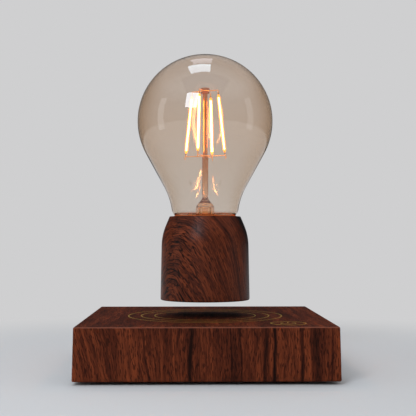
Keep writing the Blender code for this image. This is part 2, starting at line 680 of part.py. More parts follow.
def add_touch_switch(base):
    """Sensing pad glued under the top, and the coil spring that ties it to the board."""
    pad = rod(TOUCH_PAD_RADIUS, 0, TOUCH_PAD_THICKNESS, MIDDLE_FACETS)
    add_piece("touch_pad", pad, "copper_winding", base, (*TOUCH_PLACE, TOUCH_PAD_BOTTOM))
    lowest = ON_BOARD + SPRING_WIRE_RADIUS
    rise = TOUCH_PAD_BOTTOM - FIT - SPRING_WIRE_RADIUS - lowest
    count = SPRING_TURNS * SPRING_TURN_POINTS
    path = []
    for index in range(count + 1):
        share = index / count
        path.append(on_circle(SPRING_RADIUS, share * SPRING_TURNS * math.tau, lowest + rise * share))
    spring = swept(path, SPRING_WIRE_RADIUS, WIRE_FACETS)
    add_piece("touch_spring", spring, "brass_spring", base, (*TOUCH_PLACE, 0))


def add_power_inlet(base):
    """Barrel socket that stands on the board and faces the hole in the rear wall."""
    jack = add_piece(
        "power_inlet", block(JACK_SIZE), "black_plastic", base, (JACK_X, JACK_REAR - JACK_SIZE[1] / 2, ON_BOARD)
    )
    bore = turned(
        [
            (0, CUT_OVERRUN),
            (JACK_BORE_RADIUS, CUT_OVERRUN),
            (JACK_BORE_RADIUS, -JACK_BORE_DEPTH),
            (JACK_PIN_RADIUS, -JACK_BORE_DEPTH),
            (JACK_PIN_RADIUS, -JACK_PIN_SETBACK),
            (0, -JACK_PIN_SETBACK),
        ],
        SMALL_FACETS,
    )
    bmesh.ops.rotate(bore, verts=bore.verts, cent=(0, 0, 0), matrix=Matrix.Rotation(-math.pi / 2, 3, "X"))
    cut(jack, bore, "barrel_bore", base, (JACK_X, JACK_REAR, JACK_AXIS))


def add_cup(lamp):
    """Turned wooden cup: leaning side, rounded shoulder, a chamber from below and a bored mouth."""
    side_fall = math.tan(CUP_SIDE_LEAN)
    shoulder_fall = math.tan(CUP_SHOULDER_LEAN)
    shoulder_radius_at_floor = CUP_RIM_RADIUS + CUP_HEIGHT * shoulder_fall
    shoulder = (shoulder_radius_at_floor - CUP_BOTTOM_RADIUS) / (shoulder_fall - side_fall)
    disc_seat = DISC_TOP + FIT
    corners = [
        (CUP_BOTTOM_RADIUS, 0, CUP_EDGE_ROUND),
        (CUP_BOTTOM_RADIUS - shoulder * side_fall, shoulder, CUP_SHOULDER_ROUND),
        (CUP_RIM_RADIUS, CUP_HEIGHT, CUP_RIM_ROUND),
        (CUP_MOUTH_RADIUS, CUP_HEIGHT, 0),
        (CUP_MOUTH_RADIUS, CHAMBER_TOP, 0),
        (CHAMBER_RADIUS, CHAMBER_TOP, 0),
        (CHAMBER_RADIUS, disc_seat, 0),
        (CHAMBER_RADIUS + DISC_LEDGE, disc_seat, 0),
        (CHAMBER_RADIUS + DISC_LEDGE, 0, 0),
    ]
    add_piece("lamp_cup", turned(rounded(corners), WIDE_FACETS), "rosewood", lamp)
    disc = rod(CHAMBER_RADIUS + DISC_LEDGE - FIT, DISC_SETBACK, DISC_TOP, WIDE_FACETS)
    add_piece("cup_base_disc", disc, "black_plastic", lamp)


def add_float_magnet(float_carriage):
    """Disc magnet that the base holds up; turning it changes nothing, so the lamp spins freely round it."""
    magnet = rod(CARRIER_BORE - FIT, CARRIER_BOTTOM, CARRIER_BOTTOM + MAGNET_HEIGHT, WIDE_FACETS)
    add_piece("float_magnet", magnet, "nickel_magnet", float_carriage)


def add_cup_contents(lamp):
    """Receiving coil, magnet carrier, and the small board that feeds the bulb."""
    coil = ring(RECEIVER_INNER, CHAMBER_FIT_RADIUS, 0, RECEIVER_THICKNESS, WIDE_FACETS)
    add_piece("receiver_coil", coil, "copper_winding", lamp, (0, 0, RECEIVER_BOTTOM))
    carrier_top = CARRIER_CEILING + CARRIER_WEB
    carrier_outline = [
        (CHAMBER_FIT_RADIUS, CARRIER_BOTTOM),
        (CHAMBER_FIT_RADIUS, carrier_top),
        (CARRIER_HOLE_RADIUS, carrier_top),
        (CARRIER_HOLE_RADIUS, CARRIER_CEILING),
        (CARRIER_BORE, CARRIER_CEILING),
        (CARRIER_BORE, CARRIER_BOTTOM),
    ]
    add_piece("magnet_carrier", turned(carrier_outline, WIDE_FACETS), "black_plastic", lamp)
    board = rod(CHAMBER_FIT_RADIUS, CUP_BOARD_BOTTOM, CUP_BOARD_BOTTOM + CUP_BOARD_THICKNESS, WIDE_FACETS)
    add_piece("rectifier_board", board, "green_board", lamp)
    add_piece("bridge_rectifier", block(BRIDGE_SIZE), "chip_epoxy", lamp, (*BRIDGE_PLACE, ON_CUP_BOARD))
    can = rod(SMOOTHER_RADIUS, 0, SMOOTHER_HEIGHT, SMALL_FACETS, CAPACITOR_ROUND)
    add_piece("smoothing_capacitor", can, "capacitor_sleeve", lamp, (*SMOOTHER_PLACE, ON_CUP_BOARD))
    choke = rod(CHOKE_RADIUS, 0, CHOKE_HEIGHT, SMALL_FACETS, CAPACITOR_ROUND)
    add_piece("choke", choke, "ferrite", lamp, (*CHOKE_PLACE, ON_CUP_BOARD))


def add_neck_collar(lamp):
    """Stepped sleeve that hangs under the mouth by its flange and holds the tail of the glass."""
    skirt_bore = COLLAR_RADIUS - COLLAR_SKIRT_WALL
    flange_top = COLLAR_BOTTOM + COLLAR_FLANGE
    floor_bottom = COLLAR_SHELF_TOP - COLLAR_FLOOR
    sleeve_bore = GLASS_TAIL_RADIUS + FIT
    shelf_radius = STEM_FOOT_RADIUS - COLLAR_SHELF
    outline = [
        (skirt_bore, COLLAR_BOTTOM),
        (CHAMBER_FIT_RADIUS, COLLAR_BOTTOM),
        (CHAMBER_FIT_RADIUS, flange_top),
        (COLLAR_RADIUS, flange_top),
        (COLLAR_RADIUS, COLLAR_TOP),
        (sleeve_bore, COLLAR_TOP),
        (sleeve_bore, COLLAR_SHELF_TOP),
        (shelf_radius, COLLAR_SHELF_TOP),
        (shelf_radius, floor_bottom),
        (skirt_bore, floor_bottom),
    ]
    add_piece("neck_collar", turned(outline, WIDE_FACETS), "white_ceramic", lamp)


def glass_side():
    """The outside of the glass, from its pole down to the end of its tail."""
    dome_steps = math.ceil(math.pi / 2 / ARC_STEP)
    belly_steps = math.ceil(GLASS_CONE_LEAN / ARC_STEP)
    side = []
    for index in range(dome_steps):
        turn = math.pi / 2 * index / dome_steps
        side.append((GLASS_RADIUS * math.sin(turn), GLASS_CENTRE + GLASS_DOME_HEIGHT * math.cos(turn), 0))
    for index in range(belly_steps + 1):
        turn = GLASS_CONE_LEAN * index / belly_steps
        side.append((GLASS_RADIUS * math.cos(turn), GLASS_CENTRE - GLASS_RADIUS * math.sin(turn), 0))
    side.append((GLASS_THROAT_RADIUS, THROAT, GLASS_THROAT_ROUND))
    side.append((HEEL_CORNER_RADIUS, GLASS_HEEL, GLASS_HEEL_ROUND))
    side.append((GLASS_TAIL_RADIUS, GLASS_HEEL, GLASS_TAIL_ROUND))
    side.append((GLASS_TAIL_RADIUS, GLASS_TAIL_END, 0))
    return rounded(side, closed=False)


def add_glass_bulb(lamp):
    """Thin envelope of one wall: round dome, cone, drawn-in neck, rounded heel and a straight tail."""
    outside = glass_side()
    inside = moved_out(outside, -GLASS_WALL)
    add_piece("glass_bulb", turned(outside + inside[::-1], WIDE_FACETS), "smoked_glass", lamp)


def add_neck_seal(lamp):
    """Soft ring in the mouth, shaped to the heel of the glass, with a thin lip that shows above the rim."""
    hug = between_heights(moved_out(glass_side(), FIT), SEAL_BOTTOM, SEAL_TOP)
    outline = [(SEAL_RADIUS, SEAL_TOP)] + hug + [(SEAL_RADIUS, SEAL_BOTTOM)]
    add_piece("neck_seal", turned(outline, WIDE_FACETS), "amber_silicone", lamp)


def filament_axes():
    """Return the bottom and top end of each stick's glowing part, on a cone that narrows and twists upwards."""
    axes = []
    for index in range(FILAMENT_COUNT):
        turn = FILAMENT_START + index * math.tau / FILAMENT_COUNT
        bottom = on_circle(FILAMENT_BOTTOM_RADIUS, turn, GLASS_CENTRE - FILAMENT_BOTTOM_BELOW_CENTRE)
        top = on_circle(FILAMENT_TOP_RADIUS, turn + FILAMENT_TWIST, GLASS_CENTRE + FILAMENT_TOP_ABOVE_CENTRE)
        axes.append((bottom, top))
    return axes


def tab_ends():
    """Return the lower and upper wire ends of each stick, a fit beyond its metal tabs."""
    ends = []
    for bottom, top in filament_axes():
        along = (top - bottom).normalized() * (TAB_LENGTH + FIT)
        ends.append((bottom - along, top + along))
    return ends


def wire_heights():
    """Return the heights of the lower and the upper set of support wires."""
    lower_end, upper_end = tab_ends()[0]
    return lower_end.z - LOWER_WIRE_RISE, upper_end.z + UPPER_WIRE_DROP


def shoulder_curve(low, high):
    """Return the points of an S from a wide radius below to a narrow one above, listed from the top down."""
    points = []
    for index in range(STEM_SHOULDER_STEPS + 1):
        share = (1 + math.cos(math.pi * index / STEM_SHOULDER_STEPS)) / 2
        height = high[1] + (low[1] - high[1]) * index / STEM_SHOULDER_STEPS
        points.append((low[0] + (high[0] - low[0]) * share, height, 0))
    return points


def add_glass_stem(lamp):
    """Blown stem: flared foot, tube with a drawn shoulder, exhaust tube, post, rod and a grooved button."""
    lower_wires, upper_wires = wire_heights()
    groove_half = WIRE_RING_RADIUS + FIT
    post_top = lower_wires - WIRE_RING_RADIUS - FIT
    foot_top = STEM_FOOT + STEM_WALL
    button_top = upper_wires + groove_half + BUTTON_BEAD
    button_bottom = upper_wires - groove_half - BUTTON_BEAD
    exhaust_end = STEM_FOOT + EXHAUST_SETBACK
    corners = [
        (0, button_top, 0),
        (BUTTON_RADIUS, button_top, BUTTON_ROUND),
        (BUTTON_RADIUS, upper_wires + groove_half, 0),
        (BUTTON_GROOVE_RADIUS, upper_wires + groove_half, 0),
        (BUTTON_GROOVE_RADIUS, upper_wires - groove_half, 0),
        (BUTTON_RADIUS, upper_wires - groove_half, 0),
        (BUTTON_RADIUS, button_bottom, BUTTON_ROUND),
        (ROD_RADIUS, button_bottom, 0),
        (ROD_RADIUS, post_top, 0),
        (POST_RADIUS, post_top, 0),
        (POST_RADIUS, STEM_WAIST + STEM_WAIST_FLARE, 0),
    ]
    corners += shoulder_curve((STEM_TUBE_RADIUS, STEM_TUBE_TOP), (STEM_WAIST_RADIUS, STEM_WAIST))
    corners += [
        (STEM_TUBE_RADIUS, foot_top, STEM_FOOT_ROUND),
        (STEM_FOOT_RADIUS, foot_top, 0),
        (STEM_FOOT_RADIUS, STEM_FOOT, 0),
        (STEM_CAVITY_RADIUS, STEM_FOOT, STEM_FOOT_ROUND + STEM_WALL),
    ]
    cavity_steps = math.ceil(math.pi / SMALL_ARC_STEP)
    for index in range(cavity_steps + 1):
        crown = on_circle(CAVITY_ROUND, math.pi * index / cavity_steps)
        corners.append((LEAD_OFFSET + crown.x, STEM_TUBE_TOP + crown.y, 0))
    corners += [(POST_RADIUS, exhaust_end, SMALL_ROUND), (0, exhaust_end, 0)]
    add_piece("glass_stem", turned(rounded(corners, closed=False), MIDDLE_FACETS), "clear_glass", lamp)


def add_lead_wires(lamp):
    """Two straight leads from the board, up inside the stem, one each side of its exhaust tube."""
    top = STEM_TUBE_TOP + CAVITY_ROUND - FIT
    for index, side in enumerate((-1, 1), start=1):
        lead = rod(LEAD_RADIUS, ON_CUP_BOARD, top, WIRE_FACETS)
        add_piece(f"lead_wire_{index}", lead, "nickel_wire", lamp, (side * LEAD_OFFSET, 0, 0))


def wire_arm(end, ring_radius, height):
    """Return the path of one arm: out from the ring, bent, and on to the end of a filament's tab."""
    turn = math.atan2(end.y, end.x)
    reach = end.xy.length
    bend_to = height + math.copysign(WIRE_BEND, end.z - height)
    return [
        on_circle(ring_radius, turn, height),
        on_circle(reach - WIRE_BEND, turn, height),
        on_circle(reach, turn, bend_to),
        end,
    ]


def add_support_wires(name, ends, ring_radius, height, lamp):
    """Ring of wire round the stem with an arm to each filament, as one welded piece."""
    section = [on_circle(WIRE_RING_RADIUS, math.tau * index / WIRE_FACETS) for index in range(WIRE_FACETS)]
    shape = turned([(ring_radius + point.x, height + point.y) for point in section], SMALL_FACETS)
    wires = add_piece(name, shape, "nickel_wire", lamp)
    for index, end in enumerate(ends, start=1):
        arm = swept(wire_arm(end, ring_radius, height), WIRE_RADIUS, WIRE_FACETS)
        unite(wires, arm, f"{name}_arm_{index}", lamp)


def add_filament_cage(lamp):
    """Four light-emitting sticks between the upper and the lower support wires."""
    lower_wires, upper_wires = wire_heights()
    lower_ends = [lower for lower, upper in tab_ends()]
    upper_ends = [upper for lower, upper in tab_ends()]
    lower_ring = ROD_RADIUS + FIT + WIRE_RING_RADIUS
    upper_ring = BUTTON_GROOVE_RADIUS + FIT + WIRE_RING_RADIUS
    add_support_wires("lower_support_wires", lower_ends, lower_ring, lower_wires, lamp)
    add_support_wires("upper_support_wires", upper_ends, upper_ring, upper_wires, lamp)
    for index, (bottom, top) in enumerate(filament_axes(), start=1):
        length = (top - bottom).length
        outline = [
            (0, length + TAB_LENGTH),
            (TAB_RADIUS, length + TAB_LENGTH),
            (TAB_RADIUS, length),
            (FILAMENT_TIP_RADIUS, length),
            (FILAMENT_RADIUS, length - FILAMENT_TIP),
            (FILAMENT_RADIUS, FILAMENT_TIP),
            (FILAMENT_TIP_RADIUS, 0),
            (TAB_RADIUS, 0),
            (TAB_RADIUS, -TAB_LENGTH),
            (0, -TAB_LENGTH),
        ]
        stick = add_piece(f"filament_{index}", turned(outline, WIRE_FACETS), "warm_phosphor", lamp, bottom)
        stick.rotation_mode = "QUATERNION"
        stick.rotation_quaternion = Vector((0, 0, 1)).rotation_difference(top - bottom)


def build_lamp():
    """Build the base, the floating magnet and the lamp that spins round it."""
    for thing in list(bpy.data.objects):
        bpy.data.objects.remove(thing, do_unlink=True)
    base = add_empty("base", (0, 0, 0))
    add_base_housing(base)
    add_bottom_cover(base)
    add_feet_and_screws(base)
    add_levitation_drive(base)
    add_board_parts(base)
    add_power_sender(base)
    add_touch_switch(base)
    add_power_inlet(base)
    float_carriage = add_empty("float_carriage", (0, 0, CUP_UNDERSIDE))
    add_float_magnet(float_carriage)
    lamp = add_empty("lamp", (0, 0, 0), float_carriage)
    add_cup(lamp)
    add_cup_contents(lamp)
    add_neck_collar(lamp)
    add_glass_bulb(lamp)
    add_neck_seal(lamp)
    add_glass_stem(lamp)
    add_lead_wires(lamp)
    add_filament_cage(lamp)


build_lamp()
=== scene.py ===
"""Looks of a levitating table lamp: a smoked filament bulb in a turned rosewood cup over a rosewood base.

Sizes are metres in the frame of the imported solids: +Z up, the front faces -Y, the origin is on the table.
"""

import json
import logging
import math
from dataclasses import dataclass, field
from enum import Enum
from typing import Iterable, Sequence

import bmesh
import bpy
from mathutils import Matrix, Vector

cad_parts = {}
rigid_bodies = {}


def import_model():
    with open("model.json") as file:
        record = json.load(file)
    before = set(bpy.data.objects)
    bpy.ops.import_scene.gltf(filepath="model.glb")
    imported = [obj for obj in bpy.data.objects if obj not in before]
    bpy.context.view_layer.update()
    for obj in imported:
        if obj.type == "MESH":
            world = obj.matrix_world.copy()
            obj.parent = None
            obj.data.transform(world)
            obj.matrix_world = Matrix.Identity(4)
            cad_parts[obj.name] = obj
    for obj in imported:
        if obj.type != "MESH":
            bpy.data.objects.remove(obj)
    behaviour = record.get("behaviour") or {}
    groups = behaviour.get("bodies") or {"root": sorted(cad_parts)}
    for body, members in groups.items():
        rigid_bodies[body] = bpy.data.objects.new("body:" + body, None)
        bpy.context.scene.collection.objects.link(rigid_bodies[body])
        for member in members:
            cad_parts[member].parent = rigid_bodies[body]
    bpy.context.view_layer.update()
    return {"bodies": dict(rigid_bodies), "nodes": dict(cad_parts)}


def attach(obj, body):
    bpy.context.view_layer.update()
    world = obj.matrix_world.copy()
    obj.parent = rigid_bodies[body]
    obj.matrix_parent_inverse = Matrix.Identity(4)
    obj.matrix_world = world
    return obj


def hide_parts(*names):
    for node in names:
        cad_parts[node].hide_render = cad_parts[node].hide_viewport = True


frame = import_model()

LOG = logging.getLogger("levitating_lamp")
MM = 0.001
# Clearance between a piece and what it sits in
FIT = 0.0003
# Points closer together than this are one point
SAME_PLACE = 1e-7
# Largest turn between two points of an arc: on large shapes, on ordinary corners and on the small sticks
FINE_ARC = math.radians(3)
PLAIN_ARC = math.radians(5)
SMALL_ARC = math.radians(15)
# Arcs at both ends of a leg may take up this share of it
LEG_SHARE = 0.99
# Steps of a full turn for large, middling and small round shapes
FINE_TURN = 144
MIDDLE_TURN = 64
SMALL_TURN = 32
# Edges that turn further than this stay sharp in the shading
SHARP_EDGE = math.radians(35)
# Faces that turn less than this after a cut are one flat face
FLAT_ENOUGH = math.radians(0.2)
# Roundness of a wire's section, steps along each bend of it, and how finely a weld bead is divided
WIRE_ROUNDNESS = 3
WIRE_STEPS = 6
BEAD_FINENESS = 2
# Heights of the base's top, the bulb's open end, the cup's rim, and the lower and upper end of the lit sticks
BASE_TOP = 0.027
GLASS_END = 0.0680
CUP_RIM = 0.0802
LIT_FROM = 0.1147
LIT_UNTIL = 0.1461
# The plain backdrop's colour
BACKDROP = "cfcfd0"
# Where a Mix node set to colours takes its two colours and gives the mixed one
FIRST_COLOUR = 6
SECOND_COLOUR = 7
MIXED_COLOUR = 2

Point = tuple[float, float]
Corner = tuple[float, float, float]
Triple = tuple[float, float, float]
Tree = bpy.types.NodeTree
Node = bpy.types.Node
Socket = bpy.types.NodeSocket
Shape = bmesh.types.BMesh


class Body(Enum):
    """The bodies that the scene's own pieces ride on."""

    BASE = "base"
    LAMP = "lamp"


class Grain(Enum):
    """How a wood finish finds its grain: along a veneer's own map, or through a solid turned block."""

    VENEER = "veneer"
    TURNED = "turned"


class Layer(Enum):
    """The noises in a wood; each is read from its own place, so that none repeats another."""

    FIGURE = 0.4
    DRIFT = 3.1
    FIBRE = 7.7
    PORES = 12.3
    INK = 21.4


def colour(code: str) -> tuple[float, float, float, float]:
    """Turn an sRGB hex colour into linear values, by the standard sRGB curve.

    Args:
        code: Six hex digits.

    Returns:
        Linear red, green and blue, and a full alpha.
    """
    channels = [int(code[place : place + 2], 16) / 255 for place in (0, 2, 4)]
    red, green, blue = (c / 12.92 if c <= 0.04045 else ((c + 0.055) / 1.055) ** 2.4 for c in channels)
    return red, green, blue, 1.0


def add_node(
    tree: Tree,
    kind: str,
    inputs: dict[str | int, object] | None = None,
    stops: Sequence[tuple[float, object]] = (),
    **settings: object,
) -> Node:
    """Add one node with its settings, values and links.

    Args:
        tree: The node tree.
        kind: The node's type name.
        inputs: Values or sockets for the node's inputs.
        stops: Places and colours of a colour ramp, from its start to its end.
        **settings: The node's own properties.

    Returns:
        The new node.
    """
    node = tree.nodes.new(kind)
    for name, value in settings.items():
        setattr(node, name, value)
    for name, value in (inputs or {}).items():
        if isinstance(value, Socket):
            tree.links.new(value, node.inputs[name])
        else:
            node.inputs[name].default_value = value
    for index, (place, shade) in enumerate(stops):
        ramp = node.color_ramp.elements
        element = ramp[index] if index < 2 else ramp.new(place)
        element.position = place
        element.color = colour(shade)
    return node


@dataclass(frozen=True)
class Finish:
    """A plain surface, and the base of every other finish."""

    name: str
    shade: str
    roughness: float = 0.5
    metallic: float = 0.0
    ior: float = 1.5
    specular: float = 0.5
    glow: str = "000000"
    glow_strength: float = 0.0

    def material(self) -> bpy.types.Material:
        """Make this finish's material on its first use, and find it again later.

        Returns:
            The material.
        """
        if self.name in bpy.data.materials:
            return bpy.data.materials[self.name]
        made = bpy.data.materials.new(self.name)
        made.use_nodes = True
        tree = made.node_tree
        shader = tree.nodes["Principled BSDF"]
        values = {
            "Base Color": colour(self.shade),
            "Roughness": self.roughness,
            "Metallic": self.metallic,
            "IOR": self.ior,
            "Specular IOR Level": self.specular,
            "Emission Color": colour(self.glow),
            "Emission Strength": self.glow_strength,
        }
        for name, value in values.items():
            shader.inputs[name].default_value = value
        self.paint(tree, shader)
        return made

    def paint(self, tree: Tree, shader: Node) -> None:
        """Add the finish's pattern; a plain surface has none."""


@dataclass(frozen=True)
class Speckled(Finish):
    """A surface with a fine mottle, grit in its gloss and a little relief, such as moulded plastic."""

    second: str = "000000"
    # The grit's size, and how its place is scaled along X, Y and Z, where a small number draws it out
    grit_mm: float = 0.5
    stretch: Triple = (1.0, 1.0, 1.0)
    detail: float = 4.0
    crispness: float = 0.6
    # The noise up to which the first shade shows, and from which the second does
    first_until: float = 0.35
    second_from: float = 0.68
    # What the grit does to gloss and relief
    gloss_spread: float = 0.1
    least_roughness: float = 0.02
    relief_mm: float = 0.02

    def paint(self, tree: Tree, shader: Node) -> None:
        """Mix two shades by noise, and let the same noise vary roughness and relief.

        Args:
            tree: The material's node tree.
            shader: Its Principled shader.
        """
        place = add_node(tree, "ShaderNodeTexCoord").outputs["Object"]
        stretched = add_node(
            tree, "ShaderNodeMapping", {"Vector": place, "Scale": self.stretch}, vector_type="POINT"
        ).outputs[0]
        grit_size = {"Scale": 1 / (self.grit_mm * MM), "Detail": self.detail, "Roughness": self.crispness}
        grit = add_node(tree, "ShaderNodeTexNoise", {"Vector": stretched, **grit_size}).outputs["Fac"]
        shades = ((self.first_until, self.shade), (self.second_from, self.second))
        mottle = add_node(tree, "ShaderNodeValToRGB", {"Fac": grit}, stops=shades)
        tree.links.new(mottle.outputs["Color"], shader.inputs["Base Color"])
        glossiest = max(self.least_roughness, self.roughness - self.gloss_spread)
        dullest = self.roughness + self.gloss_spread
        gloss = add_node(tree, "ShaderNodeMapRange", {"Value": grit, "To Min": glossiest, "To Max": dullest})
        tree.links.new(gloss.outputs[0], shader.inputs["Roughness"])
        relief = {"Height": grit, "Distance": self.relief_mm * MM, "Strength": 1.0}
        bump = add_node(tree, "ShaderNodeBump", relief)
        tree.links.new(bump.outputs[0], shader.inputs["Normal"])


@dataclass(frozen=True)
class Rosewood(Finish):
    """Oiled rosewood: red-brown ground, near-black ink lines, and short dark pores along the grain.

    A size in three numbers is how large a pattern's patches are across the grain, along it and beside it.
    """

    grain: Grain = Grain.VENEER
    # The ground's tones from dark to light, the finish's own shade last but one, and where each is reached
    black: str = "1f0d08"
    dark: str = "431d11"
    middle: str = "552515"
    light: str = "7d3a20"
    tone_places: tuple[float, ...] = (0.36, 0.55, 0.68, 0.78, 0.90)
    # The colour of the painted highlight on a veneer's rounded top edges
    highlight_shade: str = "8e5644"
    # Broad drifts, figure and fibre, and the share of each in the tone
    drift_mm: Triple = (9.0, 90.0, 40.0)
    drift_weight: float = 0.42
    figure_mm: Triple = (1.6, 26.0, 15.0)
    figure_weight: float = 0.62
    fibre_mm: Triple = (0.5, 7.0, 4.0)
    fibre_weight: float = 0.46
    crispness: float = 0.55
    # Near-black lines, which fade to a least strength between two distances beside the middle
    ink_mm: Triple = (2.2, 34.0, 20.0)
    ink_width: float = 0.03
    ink_depth: float = 0.45
    ink_fade: Point = (0.009, 0.019)
    ink_least: float = 1.0
    # Pores, which stand where their noise is above a start
    pore_mm: Triple = (0.6, 3.6, 2.0)
    pore_depth: float = 0.5
    pore_start: float = 0.58
    pore_full: float = 0.68
    # How far the lines sway and tremble, over what length, and how fast that length runs along X, Y and Z
    sway_mm: float = 4.5
    sway_every_mm: float = 16.0
    jitter_mm: float = 0.6
    jitter_every_mm: float = 1.6
    calm: Triple = (1.0, 0.5, 1.0)
    # How far a veneer's grain leans over, and the places across it between which the lean grows
    slant: float = 0.22
    slant_from: float = -0.012
    slant_to: float = -0.050
    # Where a turned block's pith passes, and how it leans
    pith_distance: float = 0.030
    pith_height: float = 0.058
    pith_turn: float = math.radians(-57)
    pith_tilt: float = math.radians(16)
    # Bands that are known, the wood's own and broad ones of painted shade: the middle and half width in mm,
    # and how dark, or how pale below 0
    streaks_and_shade: tuple[Triple, ...] = ()
    # What the fibre and the pores do to gloss and relief
    fibre_duller: float = 0.12
    fibre_glossier: float = 0.06
    relief_mm: float = 0.05
    relief_strength: float = 0.5

    def veneer_place(self, tree: Tree) -> tuple[Socket, Socket, Socket, Socket]:
        """Find the place in a sheet of veneer by the piece's own map; the grain leans over to the left.

        Args:
            tree: The material's node tree.

        Returns:
            Sockets for the place across the grain, along it and beside it, and for the whole place.
        """
        sheet = add_node(tree, "ShaderNodeTexCoord").outputs["UV"]
        parts = add_node(tree, "ShaderNodeSeparateXYZ", {"Vector": sheet}).outputs
        span = {
            "Value": parts[0],
            "From Min": self.slant_from,
            "From Max": self.slant_to,
            "To Max": self.slant,
        }
        lean = add_node(tree, "ShaderNodeMapRange", span).outputs[0]
        leaning = {0: parts[1], 1: lean, 2: parts[0]}
        across = add_node(tree, "ShaderNodeMath", leaning, operation="MULTIPLY_ADD")
        return across.outputs[0], parts[1], parts[2], sheet

    def turned_place(self, tree: Tree) -> tuple[Socket, Socket, Socket, Socket]:
        """Find the place in a block whose pith passes beside the piece's middle and leans from upright.

        Args:
            tree: The material's node tree.

        Returns:
            Sockets for the distance from the pith, the place along it and sideways, and for the whole place.
        """
        facing = Vector((math.sin(self.pith_turn), -math.cos(self.pith_turn), 0))
        pith = (facing * math.sin(self.pith_tilt) + Vector((0, 0, math.cos(self.pith_tilt)))).normalized()
        turn = Vector((0, 0, 1)).rotation_difference(pith).to_euler()
        centre = -facing * self.pith_distance + Vector((0, 0, self.pith_height))
        place = add_node(tree, "ShaderNodeTexCoord").outputs["Object"]
        laid = {"Vector": place, "Location": tuple(centre), "Rotation": tuple(turn)}
        block = add_node(tree, "ShaderNodeMapping", laid, vector_type="TEXTURE").outputs[0]
        level = {0: block, 1: (1, 1, 0)}
        flat = add_node(tree, "ShaderNodeVectorMath", level, operation="MULTIPLY").outputs[0]
        ring = add_node(tree, "ShaderNodeVectorMath", {0: flat}, operation="LENGTH").outputs["Value"]
        along = add_node(tree, "ShaderNodeSeparateXYZ", {"Vector": block}).outputs["Z"]
        sideways = (math.cos(self.pith_turn), math.sin(self.pith_turn), 0)
        beside = add_node(tree, "ShaderNodeVectorMath", {0: block, 1: sideways}, operation="DOT_PRODUCT")
        return ring, along, beside.outputs["Value"], block

    def streaky(
        self, tree: Tree, place: Sequence[Socket], size_mm: Triple, detail: float, layer: Layer
    ) -> Socket:
        """Draw noise out along the grain.

        Args:
            tree: The material's node tree.
            place: Sockets for the place across the grain, along it and beside it.
            size_mm: How large the noise's patches are those three ways.
            detail: How many finer layers it has.
            layer: Which of the wood's noises it is.

        Returns:
            The noise, from 0 to 1.
        """
        parts: dict[str | int, object] = {}
        for index, size in enumerate(size_mm):
            values = {0: place[index], 1: 1 / (size * MM), 2: layer.value}
            parts[index] = add_node(tree, "ShaderNodeMath", values, operation="MULTIPLY_ADD").outputs[0]
        drawn = add_node(tree, "ShaderNodeCombineXYZ", parts).outputs[0]
        look = {"Vector": drawn, "Scale": 1.0, "Detail": detail, "Roughness": self.crispness}
        return add_node(tree, "ShaderNodeTexNoise", look).outputs["Fac"]

    def shaken(self, tree: Tree, across: Socket, free: Socket) -> Socket:
        """Let the grain lines wander slowly, and tremble a little on the way.

        Args:
            tree: The material's node tree.
            across: The place across straight grain.
            free: The whole place.

        Returns:
            The place across the wandering grain.
        """
        drawn_out = {0: free, 1: self.calm}
        calm = add_node(tree, "ShaderNodeVectorMath", drawn_out, operation="MULTIPLY").outputs[0]
        for every_mm, reach_mm, detail in (
            (self.sway_every_mm, self.sway_mm, 1.0),
            (self.jitter_every_mm, self.jitter_mm, 2.0),
        ):
            look = {"Vector": calm, "Scale": 1 / (every_mm * MM), "Detail": detail}
            noise = add_node(tree, "ShaderNodeTexNoise", look).outputs["Fac"]
            moved = {0: noise, 1: reach_mm * MM, 2: across}
            across = add_node(tree, "ShaderNodeMath", moved, operation="MULTIPLY_ADD").outputs[0]
        return across

    def tone(self, tree: Tree, place: Sequence[Socket], fibre: Socket) -> Socket:
        """Add up broad drifts, figure and fibre, and take off the known bands: the wood's own, and painted
        shade.

        Args:
            tree: The material's node tree.
            place: Sockets for the place across the grain, along it and beside it.
            fibre: The noise of the fibre.

        Returns:
            How light the ground is.
        """
        drift = self.streaky(tree, place, self.drift_mm, 1.0, Layer.DRIFT)
        figure = self.streaky(tree, place, self.figure_mm, 3.0, Layer.FIGURE)
        values = {0: drift, 1: self.drift_weight}
        total = add_node(tree, "ShaderNodeMath", values, operation="MULTIPLY").outputs[0]
        for noise, weight in ((figure, self.figure_weight), (fibre, self.fibre_weight)):
            values = {0: noise, 1: weight, 2: total}
            total = add_node(tree, "ShaderNodeMath", values, operation="MULTIPLY_ADD").outputs[0]
        for centre_mm, half_mm, depth in self.streaks_and_shade:
            values = {0: place[0], 1: centre_mm * MM}
            offset = add_node(tree, "ShaderNodeMath", values, operation="SUBTRACT").outputs[0]
            away = add_node(tree, "ShaderNodeMath", {0: offset}, operation="ABSOLUTE").outputs[0]
            span = {"Value": away, "From Max": half_mm * MM, "To Min": -depth, "To Max": 0.0}
            band = add_node(tree, "ShaderNodeMapRange", span, interpolation_type="SMOOTHSTEP").outputs[0]
            total = add_node(tree, "ShaderNodeMath", {0: total, 1: band}, operation="ADD").outputs[0]
        return total

